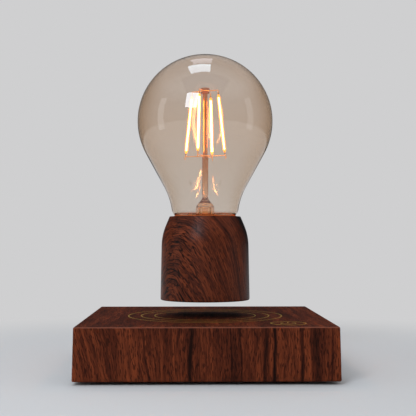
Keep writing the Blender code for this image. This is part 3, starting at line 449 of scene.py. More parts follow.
    def ink(self, tree: Tree, place: Sequence[Socket], fibre: Socket) -> Socket:
        """Draw ink lines, which the fibre breaks up and which may fade to the sides, and pores.

        Args:
            tree: The material's node tree.
            place: Sockets for the place across the grain, along it and beside it.
            fibre: The noise of the fibre.

        Returns:
            How strongly a line or a pore darkens the wood, from 0 to 1.
        """
        flow = self.streaky(tree, place, self.ink_mm, 1.0, Layer.INK)
        offset = add_node(tree, "ShaderNodeMath", {0: flow, 1: 0.5}, operation="SUBTRACT").outputs[0]
        away = add_node(tree, "ShaderNodeMath", {0: offset}, operation="ABSOLUTE").outputs[0]
        span = {"Value": away, "From Max": self.ink_width, "To Min": self.ink_depth * 2, "To Max": 0.0}
        line = add_node(tree, "ShaderNodeMapRange", span).outputs[0]
        beside = add_node(tree, "ShaderNodeMath", {0: place[2]}, operation="ABSOLUTE").outputs[0]
        fade_from, fade_to = self.ink_fade
        fade = {
            "Value": beside,
            "From Min": fade_from,
            "From Max": fade_to,
            "To Min": 1.0,
            "To Max": self.ink_least,
        }
        strength = add_node(tree, "ShaderNodeMapRange", fade).outputs[0]
        line = add_node(tree, "ShaderNodeMath", {0: line, 1: strength}, operation="MULTIPLY").outputs[0]
        broken = add_node(tree, "ShaderNodeMath", {0: line, 1: fibre}, operation="MULTIPLY").outputs[0]
        pores = self.streaky(tree, place, self.pore_mm, 0.0, Layer.PORES)
        cut = {
            "Value": pores,
            "From Min": self.pore_start,
            "From Max": self.pore_full,
            "To Min": 0.0,
            "To Max": self.pore_depth,
        }
        pore = add_node(tree, "ShaderNodeMapRange", cut).outputs[0]
        both = add_node(tree, "ShaderNodeMath", {0: broken, 1: pore}, operation="MAXIMUM", use_clamp=True)
        return both.outputs[0]

    def paint(self, tree: Tree, shader: Node) -> None:
        """Lay figure, ink lines and pores over the ground colour, and let them roughen and dent it.

        Args:
            tree: The material's node tree.
            shader: Its Principled shader.
        """
        veneer = self.grain is Grain.VENEER
        across, along, beside, free = self.veneer_place(tree) if veneer else self.turned_place(tree)
        place = (self.shaken(tree, across, free), along, beside)
        fibre = self.streaky(tree, place, self.fibre_mm, 2.0, Layer.FIBRE)
        tone = self.tone(tree, place, fibre)
        tones = tuple(zip(self.tone_places, (self.black, self.dark, self.middle, self.shade, self.light)))
        ground = add_node(tree, "ShaderNodeValToRGB", {"Fac": tone}, stops=tones).outputs["Color"]
        ink = self.ink(tree, place, fibre)
        inked = {"Factor": ink, FIRST_COLOUR: ground, SECOND_COLOUR: colour(self.black)}
        wood = add_node(tree, "ShaderNodeMix", inked, data_type="RGBA").outputs[MIXED_COLOUR]
        # On a veneer, the rounded top edges get a painted highlight: a lighter colour mixed in by their mark
        if veneer:
            painted_edge_highlight = add_node(tree, "ShaderNodeAttribute", attribute_name="painted_edge_highlight").outputs["Fac"]
            highlight_shade = {"Factor": painted_edge_highlight, FIRST_COLOUR: wood, SECOND_COLOUR: colour(self.highlight_shade)}
            wood = add_node(tree, "ShaderNodeMix", highlight_shade, data_type="RGBA").outputs[MIXED_COLOUR]
        tree.links.new(wood, shader.inputs["Base Color"])
        dullest = self.roughness + self.fibre_duller
        glossiest = self.roughness - self.fibre_glossier
        gloss = add_node(tree, "ShaderNodeMapRange", {"Value": fibre, "To Min": dullest, "To Max": glossiest})
        tree.links.new(gloss.outputs[0], shader.inputs["Roughness"])
        sunk = {0: ink, 1: -1.0, 2: fibre}
        height = add_node(tree, "ShaderNodeMath", sunk, operation="MULTIPLY_ADD").outputs[0]
        relief = {"Height": height, "Distance": self.relief_mm * MM, "Strength": self.relief_strength}
        bump = add_node(tree, "ShaderNodeBump", relief)
        tree.links.new(bump.outputs[0], shader.inputs["Normal"])


@dataclass(frozen=True)
class Glass(Finish):
    """Blown glass that lets the lamps through, with a tint that may change with height."""

    tint: tuple[tuple[float, str], ...] = ((0.0, "ffffff"), (1.0, "ffffff"))
    # The colour that deepens the edges, and the slants between which it comes in
    edge: str = "ffffff"
    edge_from: float = 0.2
    edge_full: float = 0.9
    # The heights between which the tint runs
    low: float = 0.0
    high: float = 1.0
    # Clouds in the tint and ripples of the blown wall, both about a centimetre wide
    cloud_mm: float = 11.0
    cloud_reach: float = 0.08
    ripple_mm: float = 9.0
    ripple_depth_mm: float = 0.03
    # The colour that the wall lets through, and how strongly it takes up the rest
    absorb: str = "ffffff"
    density: float = 0.0

    def paint(self, tree: Tree, shader: Node) -> None:
        """Tint the glass by height and towards its edges, ripple it, and let shadow rays pass.

        Args:
            tree: The material's node tree.
            shader: Its Principled shader.
        """
        shader.inputs["Transmission Weight"].default_value = 1.0
        place = add_node(tree, "ShaderNodeTexCoord").outputs["Object"]
        height = add_node(tree, "ShaderNodeSeparateXYZ", {"Vector": place}).outputs["Z"]
        span = {"Value": height, "From Min": self.low, "From Max": self.high}
        share = add_node(tree, "ShaderNodeMapRange", span).outputs[0]
        clouds = {"Vector": place, "Scale": 1 / (self.cloud_mm * MM), "Detail": 2.0}
        cloud = add_node(tree, "ShaderNodeTexNoise", clouds).outputs["Fac"]
        wavering = {0: cloud, 1: self.cloud_reach, 2: share}
        share = add_node(tree, "ShaderNodeMath", wavering, operation="MULTIPLY_ADD").outputs[0]
        middle = add_node(tree, "ShaderNodeValToRGB", {"Fac": share}, stops=self.tint).outputs["Color"]
        slant = add_node(tree, "ShaderNodeLayerWeight", {"Blend": 0.5}).outputs["Facing"]
        span = {"Value": slant, "From Min": self.edge_from, "From Max": self.edge_full}
        deep = add_node(tree, "ShaderNodeMapRange", span, interpolation_type="SMOOTHSTEP").outputs[0]
        edged = {"Factor": deep, FIRST_COLOUR: middle, SECOND_COLOUR: colour(self.edge)}
        mixed = add_node(tree, "ShaderNodeMix", edged, data_type="RGBA", blend_type="MULTIPLY")
        tint = mixed.outputs[MIXED_COLOUR]
        tree.links.new(tint, shader.inputs["Base Color"])
        ripples = {"Vector": place, "Scale": 1 / (self.ripple_mm * MM), "Detail": 1.0}
        ripple = add_node(tree, "ShaderNodeTexNoise", ripples).outputs["Fac"]
        relief = {"Height": ripple, "Distance": self.ripple_depth_mm * MM, "Strength": 1.0}
        bump = add_node(tree, "ShaderNodeBump", relief)
        tree.links.new(bump.outputs[0], shader.inputs["Normal"])
        clear = add_node(tree, "ShaderNodeBsdfTransparent", {"Color": tint}).outputs[0]
        shadow = add_node(tree, "ShaderNodeLightPath").outputs["Is Shadow Ray"]
        both = add_node(tree, "ShaderNodeMixShader", {0: shadow, 1: shader.outputs[0], 2: clear}).outputs[0]
        result = tree.nodes["Material Output"]
        tree.links.new(both, result.inputs["Surface"])
        if self.density:
            smoke = {"Color": colour(self.absorb), "Density": self.density}
            in_wall = add_node(tree, "ShaderNodeVolumeAbsorption", smoke).outputs[0]
            tree.links.new(in_wall, result.inputs["Volume"])


@dataclass(frozen=True)
class Lit(Finish):
    """A surface that gives light, in another colour near its lower and its upper end."""

    # The ends' colour, how far from an end the main one is reached, and after what share of that it starts
    tips: str = "ff9a1e"
    tip_length: float = 0.002
    tip_share: float = 0.45
    strength: float = 10.0
    # The heights of the two ends
    low: float = 0.0
    high: float = 1.0
    # The face's grain, by which the change of colour wavers, and how far
    grain_mm: float = 0.8
    grain_reach_mm: float = 0.4
    alpha: float = 1.0

    def paint(self, tree: Tree, shader: Node) -> None:
        """Give light in the tips' colour at both ends and in the main colour between.

        Args:
            tree: The material's node tree.
            shader: Its Principled shader.
        """
        place = add_node(tree, "ShaderNodeTexCoord").outputs["Object"]
        height = add_node(tree, "ShaderNodeSeparateXYZ", {"Vector": place}).outputs["Z"]
        above = add_node(tree, "ShaderNodeMath", {0: height, 1: self.low}, operation="SUBTRACT").outputs[0]
        below = add_node(tree, "ShaderNodeMath", {0: self.high, 1: height}, operation="SUBTRACT").outputs[0]
        nearest = add_node(tree, "ShaderNodeMath", {0: above, 1: below}, operation="MINIMUM").outputs[0]
        grains = {"Vector": place, "Scale": 1 / (self.grain_mm * MM), "Detail": 2.0}
        grain = add_node(tree, "ShaderNodeTexNoise", grains).outputs["Fac"]
        uneven = {0: grain, 1: self.grain_reach_mm * MM, 2: nearest}
        inward = add_node(tree, "ShaderNodeMath", uneven, operation="MULTIPLY_ADD").outputs[0]
        span = {"Value": inward, "From Max": self.tip_length}
        share = add_node(tree, "ShaderNodeMapRange", span).outputs[0]
        shades = ((self.tip_share, self.tips), (1.0, self.shade))
        light = add_node(tree, "ShaderNodeValToRGB", {"Fac": share}, stops=shades).outputs["Color"]
        tree.links.new(light, shader.inputs["Base Color"])
        tree.links.new(light, shader.inputs["Emission Color"])
        shader.inputs["Emission Strength"].default_value = self.strength
        shader.inputs["Alpha"].default_value = self.alpha


def seen(tree: Tree) -> Socket:
    """Tell the rays that show the backdrop, which come straight to the camera, off gloss or through glass.

    Args:
        tree: The node tree of a material or the world.

    Returns:
        A socket that is 1 for those rays and 0 for the rest.
    """
    path = add_node(tree, "ShaderNodeLightPath").outputs
    seen_or_mirrored = {0: path["Is Camera Ray"], 1: path["Is Glossy Ray"]}
    either = add_node(tree, "ShaderNodeMath", seen_or_mirrored, operation="MAXIMUM").outputs[0]
    any_of_three = {0: either, 1: path["Is Transmission Ray"]}
    return add_node(tree, "ShaderNodeMath", any_of_three, operation="MAXIMUM").outputs[0]


@dataclass(frozen=True)
class FadingFloor(Finish):
    """Matt paper that keeps the lamp's shadow near it and becomes the plain backdrop farther out."""

    # The distances from the lamp between which the paper fades
    fade_start: float = 0.12
    fade_end: float = 0.32

    def paint(self, tree: Tree, shader: Node) -> None:
        """Mix the paper with the backdrop by the distance from the lamp.

        Args:
            tree: The material's node tree.
            shader: Its Principled shader.
        """
        place = add_node(tree, "ShaderNodeTexCoord").outputs["Object"]
        away = add_node(tree, "ShaderNodeVectorMath", {0: place}, operation="LENGTH").outputs["Value"]
        span = {"Value": away, "From Min": self.fade_start, "From Max": self.fade_end}
        fade = add_node(tree, "ShaderNodeMapRange", span, interpolation_type="SMOOTHSTEP").outputs[0]
        share = add_node(tree, "ShaderNodeMath", {0: fade, 1: seen(tree)}, operation="MULTIPLY").outputs[0]
        plain = {"Color": colour(BACKDROP), "Strength": 1.0}
        paper = add_node(tree, "ShaderNodeEmission", plain).outputs[0]
        both = add_node(tree, "ShaderNodeMixShader", {0: share, 1: shader.outputs[0], 2: paper}).outputs[0]
        tree.links.new(both, tree.nodes["Material Output"].inputs["Surface"])


@dataclass(frozen=True)
class FadingCard(Finish):
    """Card that is the backdrop's colour at its foot and its top, and dark grey a little above its foot."""

    card: str = "424244"
    low: float = 0.0
    high: float = 1.0
    # The shares of its height between which it is dark
    dark_from: float = 0.04
    dark_until: float = 0.5

    def paint(self, tree: Tree, shader: Node) -> None:
        """Shade the card by height, without regard to the lamps.

        Args:
            tree: The material's node tree.
            shader: Its Principled shader, which the card doesn't show.
        """
        place = add_node(tree, "ShaderNodeTexCoord").outputs["Object"]
        height = add_node(tree, "ShaderNodeSeparateXYZ", {"Vector": place}).outputs["Z"]
        span = {"Value": height, "From Min": self.low, "From Max": self.high}
        share = add_node(tree, "ShaderNodeMapRange", span).outputs[0]
        shades = (
            (0.0, self.shade),
            (self.dark_from, self.card),
            (self.dark_until, self.card),
            (1.0, self.shade),
        )
        tone = add_node(tree, "ShaderNodeValToRGB", {"Fac": share}, stops=shades).outputs["Color"]
        paper = add_node(tree, "ShaderNodeEmission", {"Color": tone, "Strength": 1.0}).outputs[0]
        tree.links.new(paper, tree.nodes["Material Output"].inputs["Surface"])


def fillet(before: Vector, corner: Vector, after: Vector, reach: float, step: float) -> list[Point]:
    """Return the points of an arc that meets both legs of a corner at a reach from it.

    Args:
        before: A point on the leg that comes in.
        corner: The corner itself.
        after: A point on the leg that goes out.
        reach: How far from the corner the arc starts and ends.
        step: The largest turn between two points.

    Returns:
        The arc's points, from the leg that comes in.
    """
    back = (before - corner).normalized()
    ahead = (after - corner).normalized()
    half_angle = back.angle(ahead) / 2
    centre = corner + (back + ahead).normalized() * reach / math.cos(half_angle)
    start = corner + back * reach - centre
    end = corner + ahead * reach - centre
    turn = start.angle_signed(end)
    count = max(2, math.ceil(abs(turn) / step))
    return [tuple(centre + Matrix.Rotation(-turn * index / count, 2) @ start) for index in range(count + 1)]


def rounded(corners: Sequence[Corner], closed: bool = True, step: float = PLAIN_ARC) -> list[Point]:
    """Round an outline of (radius, height, round) corners.

    Args:
        corners: The outline's corners; where two arcs want the same leg they share it.
        closed: Whether the last corner joins the first.
        step: The largest turn between two points of an arc.

    Returns:
        The outline's points.
    """
    places = [Vector(corner[:2]) for corner in corners]
    count = len(corners)
    reaches = []
    for index, (_, _, size) in enumerate(corners):
        reach = 0.0
        if size and (closed or 0 < index < count - 1):
            legs = (places[index - 1] - places[index], places[(index + 1) % count] - places[index])
            reach = size / math.tan(legs[0].angle(legs[1]) / 2)
        reaches.append(reach)
    outline: list[Point] = []
    for index, wanted in enumerate(reaches):
        if wanted == 0:
            outline.append(tuple(places[index]))
            continue
        reach = wanted
        for neighbour in (index - 1, (index + 1) % count):
            leg = (places[neighbour] - places[index]).length
            reach = min(reach, leg * LEG_SHARE * wanted / (wanted + reaches[neighbour]))
        outline.extend(fillet(places[index - 1], places[index], places[(index + 1) % count], reach, step))
    return outline


def moved_out(outline: Sequence[Point], distance: float) -> list[Point]:
    """Move an open outline sideways, to its left as it runs down.

    Args:
        outline: The outline's points.
        distance: How far to move it.

    Returns:
        The moved points; one on the axis stays on it.
    """
    moved = []
    last = len(outline) - 1
    for index, point in enumerate(outline):
        here = Vector(point)
        legs = [here - Vector(outline[max(index - 1, 0)]), Vector(outline[min(index + 1, last)]) - here]
        normals = [Vector((-leg.y, leg.x)).normalized() for leg in legs if leg.length > SAME_PLACE]
        side = (normals[0] + normals[-1]).normalized()
        shifted = here + side * distance / side.dot(normals[0])
        moved.append((shifted.x if point[0] > SAME_PLACE else 0.0, shifted.y))
    return moved


def between_heights(outline: Sequence[Point], low: float, high: float) -> list[Point]:
    """Cut out the stretch of a falling outline between two heights.

    Args:
        outline: The outline's points, from the top down.
        low: The height where the stretch ends.
        high: The height where it starts.

    Returns:
        The stretch's points, from the top down.
    """
    stretch = []
    for start, end in zip(outline, outline[1:]):
        for height in (high, low):
            if start[1] > height > end[1]:
                share = (start[1] - height) / (start[1] - end[1])
                stretch.append((start[0] + (end[0] - start[0]) * share, height))
        if low < end[1] < high:
            stretch.append(end)
    return sorted(stretch, key=lambda point: -point[1])


def turned(outline: Sequence[Point], segments: int, turn: float = math.tau) -> Shape:
    """Spin an outline of (radius, height) points round Z.

    Args:
        outline: The section; one that starts on the axis also ends there.
        segments: Steps of the spin.
        turn: How far it is spun; less than a full turn gets its ends closed.

    Returns:
        The closed shape.
    """
    shape = bmesh.new()
    verts = [shape.verts.new((radius, 0, height)) for radius, height in outline]
    edges = [shape.edges.new(pair) for pair in zip(verts, verts[1:])]
    if outline[0][0] > SAME_PLACE:
        edges.append(shape.edges.new((verts[-1], verts[0])))
    whole = turn >= math.tau
    if not whole:
        shape.faces.new(verts)
    bmesh.ops.spin(
        shape,
        geom=shape.faces[:] + verts + edges if not whole else verts + edges,
        cent=(0, 0, 0),
        axis=(0, 0, 1),
        angle=turn,
        steps=segments,
        use_merge=whole,
    )
    bmesh.ops.remove_doubles(shape, verts=shape.verts, dist=SAME_PLACE)
    bmesh.ops.recalc_face_normals(shape, faces=shape.faces)
    return shape


def ring_shape(inner: float, outer: float, bottom: float, top: float, segments: int) -> Shape:
    """Return a plain turned ring."""
    return turned([(inner, bottom), (outer, bottom), (outer, top), (inner, top)], segments)


def rod_shape(radius: float, bottom: float, top: float, segments: int, edge: float = 0.0) -> Shape:
    """Return a round bar, whose two edges may be rounded."""
    corners = [(0, top, 0), (radius, top, edge), (radius, bottom, edge), (0, bottom, 0)]
    return turned(rounded(corners, closed=False), segments)


def round_edges(shape: Shape, reach: float, segments: int) -> None:
    """Round every edge of a shape.

    Args:
        shape: The shape, which is changed.
        reach: How far from the edge its round starts.
        segments: Steps of the round.
    """
    edges = shape.edges[:]
    bmesh.ops.bevel(
        shape, geom=edges, offset=reach, segments=segments, profile=0.5, affect="EDGES", material=-1
    )


def block_shape(size: Sequence[float], edge: float = 0.0, segments: int = 3) -> Shape:
    """Make a box that stands on the plane of the origin.

    Args:
        size: How long it is along X, Y and Z.
        edge: How far from its edges they are rounded; none leaves them sharp.
        segments: Steps of the round.

    Returns:
        The box.
    """
    shape = bmesh.new()
    placing = Matrix.Translation((0, 0, size[2] / 2)) @ Matrix.Diagonal((*size, 1))
    bmesh.ops.create_cube(shape, size=1, matrix=placing)
    if edge:
        round_edges(shape, edge, segments)
    return shape


def prism_shape(outline: Sequence[Point], bottom: float, top: float) -> Shape:
    """Extrude an outline upwards.

    Args:
        outline: Its corners, as (x, y).
        bottom: The height that it starts from.
        top: The height that it reaches.

    Returns:
        The closed prism.
    """
    shape = bmesh.new()
    face = shape.faces.new([shape.verts.new((x, y, bottom)) for x, y in outline])
    grown = bmesh.ops.extrude_face_region(shape, geom=[face])
    tops = [item for item in grown["geom"] if isinstance(item, bmesh.types.BMVert)]
    bmesh.ops.translate(shape, verts=tops, vec=(0, 0, top - bottom))
    bmesh.ops.recalc_face_normals(shape, faces=shape.faces)
    return shape


def placed(shape: Shape, matrix: Matrix) -> Shape:
    """Turn and move a shape, and return it."""
    bmesh.ops.transform(shape, matrix=matrix, verts=shape.verts)
    return shape


def joined(shapes: Iterable[Shape]) -> Shape:
    """Gather shapes in one.

    Args:
        shapes: The shapes, which are used up.

    Returns:
        One shape that holds them all.
    """
    whole = bmesh.new()
    for shape in shapes:
        held = bpy.data.meshes.new("held")
        shape.to_mesh(held)
        shape.free()
        whole.from_mesh(held)
        bpy.data.meshes.remove(held)
    return whole


def wire_shape(path: Sequence[Vector], radius: float, smooth: bool = True) -> Shape:
    """Draw a round wire along a path.

    Args:
        path: The wire's points.
        radius: Half its thickness.
        smooth: Whether its bends are drawn as curves.

    Returns:
        The wire with closed ends.
    """
    line = bpy.data.curves.new("line", "CURVE")
    line.dimensions = "3D"
    line.bevel_depth = radius
    line.bevel_resolution = WIRE_ROUNDNESS
    line.use_fill_caps = True
    line.resolution_u = WIRE_STEPS
    spline = line.splines.new("NURBS" if smooth else "POLY")
    spline.points.add(len(path) - 1)
    for point, place in zip(spline.points, path):
        point.co = (*place, 1)
    if smooth:
        spline.order_u = 3
        spline.use_endpoint_u = True
    holder = bpy.data.objects.new("line", line)
    bpy.context.scene.collection.objects.link(holder)
    bpy.context.view_layer.update()
    mesh = bpy.data.meshes.new_from_object(holder.evaluated_get(bpy.context.evaluated_depsgraph_get()))
    shape = bmesh.new()
    shape.from_mesh(mesh)
    bmesh.ops.remove_doubles(shape, verts=shape.verts, dist=SAME_PLACE)
    bmesh.ops.recalc_face_normals(shape, faces=shape.faces)
    bpy.data.objects.remove(holder)
    bpy.data.curves.remove(line)
    bpy.data.meshes.remove(mesh)
    return shape


def bead_shape(place: Vector, radius: float) -> Shape:
    """Make a small ball of weld metal.

    Args:
        place: Its middle.
        radius: Its radius.

    Returns:
        The ball.
    """
    shape = bmesh.new()
    here = Matrix.Translation(place)
    bmesh.ops.create_icosphere(shape, subdivisions=BEAD_FINENESS, radius=radius, matrix=here)
    return shape


def made_object(name: str, shape: Shape) -> bpy.types.Object:
    """Put a shape into the scene.

    Args:
        name: The object's name.
        shape: Its mesh, in place, which is used up.

    Returns:
        The new object.
    """
    mesh = bpy.data.meshes.new(name)
    shape.to_mesh(mesh)
    shape.free()
    thing = bpy.data.objects.new(name, mesh)
    bpy.context.scene.collection.objects.link(thing)
    return thing


def add_piece(
    name: str,
    shape: Shape,
    finish: Finish,
    body: Body,
    replaces: Sequence[str] = (),
    sharp: float = SHARP_EDGE,
) -> bpy.types.Object:
    """Make a finished piece that rides on a body.

    Args:
        name: The piece's name.
        shape: Its mesh, in place.
        finish: What it is made of.
        body: The body that it moves with.
        replaces: The solids that it stands for.
        sharp: Edges that turn further than this stay sharp.

    Returns:
        The piece's object.
    """
    piece = made_object(name, shape)
    piece.data.shade_smooth()
    piece.data.set_sharp_from_angle(angle=sharp)
    piece.data.materials.append(finish.material())
    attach(piece, body.value)
    if replaces:
        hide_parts(*replaces)
    LOG.info("made %s", name)
    return piece


def carve(piece: bpy.types.Object, cutters: Sequence[Shape]) -> None:
    """Cut shapes out of a piece for good.

    Args:
        piece: The piece, whose mesh is changed.
        cutters: The shapes to take out.
    """
    tools = []
    for index, cutter in enumerate(cutters):
        tool = made_object(f"cutter_{index}", cutter)
        boolean = piece.modifiers.new(tool.name, "BOOLEAN")
        boolean.operation = "DIFFERENCE"
        boolean.solver = "EXACT"
        boolean.object = tool
        tools.append(tool)
    bpy.context.view_layer.update()
    carved = bpy.data.meshes.new_from_object(piece.evaluated_get(bpy.context.evaluated_depsgraph_get()))
    piece.modifiers.clear()
    shape = bmesh.new()
    shape.from_mesh(carved)
    bmesh.ops.remove_doubles(shape, verts=shape.verts, dist=SAME_PLACE)
    bmesh.ops.dissolve_limit(shape, angle_limit=FLAT_ENOUGH, verts=shape.verts, edges=shape.edges)
    shape.to_mesh(piece.data)
    shape.free()
    for tool in tools:
        mesh = tool.data
        bpy.data.objects.remove(tool)
        bpy.data.meshes.remove(mesh)
    bpy.data.meshes.remove(carved)
    piece.data.shade_smooth()
    piece.data.set_sharp_from_angle(angle=SHARP_EDGE)


def dress(nodes: Iterable[str], finish: Finish) -> None:
    """Give solids that stay as they are a better finish.

    Args:
        nodes: The names of the solids.
        finish: What they are made of.
    """
    for node in nodes:
        solid = frame["nodes"][node]
        solid.data.materials.clear()
        solid.data.materials.append(finish.material())
        LOG.info("dressed %s", node)


# Rosewood veneer, glued on, oiled and rubbed to a satin: upright figure with near-black lines, and dull
# highlights. Real pores are about 0.15 mm wide; these are three times as wide, so that they show. The streaks
# are the front's own dark and pale bands; those from 310 mm on are the top's, another part of the sheet.
# The first of these, 160 mm to each side, is painted shade over the whole top, and over the underside too.
ROSEWOOD_VENEER = Rosewood(
    "rosewood veneer, oiled",
    "68301b",
    roughness=0.6,
    specular=0.05,
    grain=Grain.VENEER,
    pore_mm=(0.45, 2.8, 2.0),
    pore_depth=0.7,
    pore_start=0.575,
    pore_full=0.645,
    streaks_and_shade=(
        (-24.6, 0.8, 0.22),
        (-5.1, 1.6, 0.34),
        (13.7, 0.7, 0.28),
        (16.0, 5.0, 0.10),
        (18.4, 0.8, 0.24),
        (29.9, 1.1, 0.24),
        (34.0, 1.3, 0.46),
        (47.0, 1.3, 0.26),
        (50.3, 1.0, -0.10),
        (53.6, 3.6, 0.20),
        (61.3, 0.8, 0.20),
        # Painted shade over the whole top, and the underside too, for the top's stronger light
        (310.0, 160.0, 0.11),
        (363.0, 1.4, 0.10),
        (366.0, 1.3, -0.14),
    ),
)
# Rosewood turned on a lathe and oiled: nested arches where the year rings lie flat, straight lines where they
# stand, and a soft gloss. Its lines are 0.5 to 0.75 mm apart, and its pores half as wide as the veneer's.
# The broad band 22 mm from the pith is painted shade: it darkens the cup's right and rear side.
ROSEWOOD_TURNED = Rosewood(
    "rosewood turned, oiled",
    "6c311a",
    roughness=0.32,
    specular=0.13,
    grain=Grain.TURNED,
    black="160a07",
    drift_mm=(2.6, 90.0, 40.0),
    figure_mm=(0.5, 26.0, 15.0),
    ink_mm=(0.75, 30.0, 14.0),
    ink_width=0.04,
    ink_depth=1.4,
    ink_least=0.3,
    pore_mm=(0.22, 3.0, 1.6),
    pore_depth=0.7,
    sway_mm=3.5,
    jitter_mm=0.32,
    calm=(1.0, 1.0, 0.35),
    pith_turn=math.radians(-50),
    pith_tilt=math.radians(13),
    # The narrow band is a grain line; the broad one is painted shade on the cup's right and rear side
    streaks_and_shade=((38.8, 1.3, 0.22), (22.0, 15.0, 0.40)),
)
# Gold foil, hot pressed into the wood: dull yellow, browned where 1.5 mm patches of it have worn
GOLD_FOIL = Speckled(
    "gold foil, pressed", "b08c34", roughness=0.6, metallic=0.5, second="92722a", grit_mm=1.5
)
# Soda glass, blown in a mould and coated inside with a smoky amber: darkest round the belly, browner at its
# edges. Soda glass has an IOR of 1.52; 1.65 gives it the strong reflections that the coating adds.
SMOKED_GLASS = Glass(
    "soda glass, blown, amber coated",
    "ffffff",
    roughness=0.0,
    ior=1.65,
    tint=((0.0, "fefefd"), (0.22, "fefdfa"), (0.58, "fdf8f2"), (1.0, "fefcfa")),
    edge="e8d8c0",
    low=0.080,
    high=0.168,
    absorb="d0a878",
    density=330.0,
)
# Lead glass, drawn into tubes and melted together: clear. Its amber tint towards its edges and its top
# and a weak glow are painted light, standing for the sticks that it mirrors many times over
CLEAR_GLASS = Glass(
    "lead glass, drawn",
    "ffffff",
    roughness=0.0,
    ior=1.55,
    tint=((0.0, "fbe6cc"), (1.0, "d0905c")),
    edge="b05818",
    low=0.085,
    high=0.110,
    glow="ff7a24",
    glow_strength=0.016,
)
# Phosphor in silicone, coated over the light-emitting strip: a soft orange that lets the strip shine through
PHOSPHOR_COAT = Lit(
    "phosphor silicone, coated",
    "ff9030",
    strength=3.0,
    low=LIT_FROM,
    high=LIT_UNTIL,
    alpha=0.5,
    roughness=0.6,
)
# The strip itself, with its chips lit: white with a yellow cast, brighter than the picture can show, and dark
# brown over its last 1.6 mm
LIT_STRIP = Lit(
    "light-emitting strip, lit",
    "ffc07a",
    tips="4a2808",
    strength=60.0,
    low=LIT_FROM,
    high=LIT_UNTIL,
    tip_length=0.0016,
)
# Nickel wire, drawn bright: warm grey. The marks of drawing are too fine to show, and are 0.4 mm apart here.
NICKEL_WIRE = Speckled(
    "nickel wire, drawn", "a59a88", roughness=0.3, metallic=1.0, second="7a6a52", grit_mm=0.4
)
# The same wire close to the sticks, in painted light: a gold colour for the sticks' light on it, and a
# painted glow for the sticks that it mirrors
WIRE_IN_PAINTED_LIGHT = Speckled(
    "nickel wire, drawn, in the sticks' light",
    "c9a06a",
    roughness=0.3,
    metallic=1.0,
    second="9a6a3a",
    grit_mm=0.4,
    glow="ff9c4c",
    glow_strength=0.6,
)
# Silicone, cast and translucent: dull orange, with a painted glow for the light from inside the neck
AMBER_SEAL = Lit(
    "silicone, cast, lit from inside",
    "84401c",
    tips="b45a26",
    strength=0.22,
    low=0.0795,
    high=0.0806,
    specular=0.2,
)
# Steatite ceramic, pressed and fired without a glaze: chalky white. Its grain of 0.05 mm is drawn at 0.35 mm,
# so that it shows.
FIRED_CERAMIC = Speckled("steatite ceramic, fired", "ece7dc", roughness=0.6, second="d8d0c0", grit_mm=0.35)
# ABS, moulded in a spark-eroded tool: near black and dull. The tool's grain of 0.05 mm is drawn at 0.3 mm, so
# that it shows.
BLACK_ABS = Speckled("ABS, moulded, spark grain", "1b1b1d", roughness=0.55, second="26262a", grit_mm=0.3)
# Nitrile rubber, moulded: black, chalky and without shine, with dust drawn as 0.4 mm specks
BLACK_RUBBER = Speckled("nitrile rubber, moulded", "141415", roughness=0.85, second="1f1f20", grit_mm=0.4)
# Steel, cold headed and zinc plated: bluish grey, with the plating's crystals drawn at 0.3 mm to show
ZINC_STEEL = Speckled(
    "steel, zinc plated", "9a9da3", roughness=0.32, metallic=1.0, second="7f838a", grit_mm=0.3
)
# Glass-fibre board under sprayed solder mask: glossy green, with the weave of its 0.6 mm threads just showing
SOLDER_MASK = Speckled("FR4 board, solder masked", "1d4a2e", roughness=0.35, second="245a38", grit_mm=0.6)
# Ferrite, pressed, sintered and ground: dark grey, with pores drawn at 0.25 mm so that they sparkle a little
FERRITE = Speckled("ferrite, sintered and ground", "2a2a2c", roughness=0.6, second="3a3a3e", grit_mm=0.25)
# Nickel, plated on the magnet and the plug's contacts: mirror-like, with faint ripples 1.2 mm apart
NICKEL_PLATE = Speckled(
    "magnet, nickel plated", "aaa9a4", roughness=0.2, metallic=1.0, second="96958f", grit_mm=1.2
)
# Copper wire, enamelled and wound: orange-brown turns that lie flat round the coil. The wire is 0.2 mm thick,
# and its turns are drawn at 0.5 mm.
COPPER_WINDING = Speckled(
    "copper wire, enamelled, wound",
    "b5683a",
    roughness=0.35,
    metallic=0.9,
    second="8a4522",
    grit_mm=0.5,
    stretch=(0.2, 0.2, 1.0),
)
# Nylon, moulded: warm white and slightly waxy, with flow marks of half a millimetre
NYLON = Speckled("nylon, moulded", "e4dfd3", roughness=0.5, second="d9d2c2", grit_mm=0.5)
# PET film, shrunk over a capacitor's can: dark blue with a soft sheen, and faint wrinkles 0.8 mm apart
SLEEVE = Speckled("PET sleeve, shrunk", "22324a", roughness=0.35, second="1a2740", grit_mm=0.8)
# Epoxy, moulded round chips: flat black, with its filler drawn as 0.2 mm specks
EPOXY = Speckled("epoxy, moulded", "17181a", roughness=0.6, second="222326", grit_mm=0.2)
# Brass wire, drawn and coiled: yellow, with the marks of drawing 0.3 mm apart so that they show
BRASS_WIRE = Speckled("brass, drawn", "c4a35a", roughness=0.3, metallic=1.0, second="a5843f", grit_mm=0.3)
# Paper, matt: a pale floor that holds the lamp's shadow
PAPER_FLOOR = FadingFloor("paper floor, matt", "d8d6d4", roughness=0.9, specular=0.1)
# Card, sprayed to fade: dark for the glass to mirror, and the backdrop's colour where it starts and ends
GREY_CARD = FadingCard("grey card, sprayed to fade", BACKDROP, low=0.01, high=1.25)


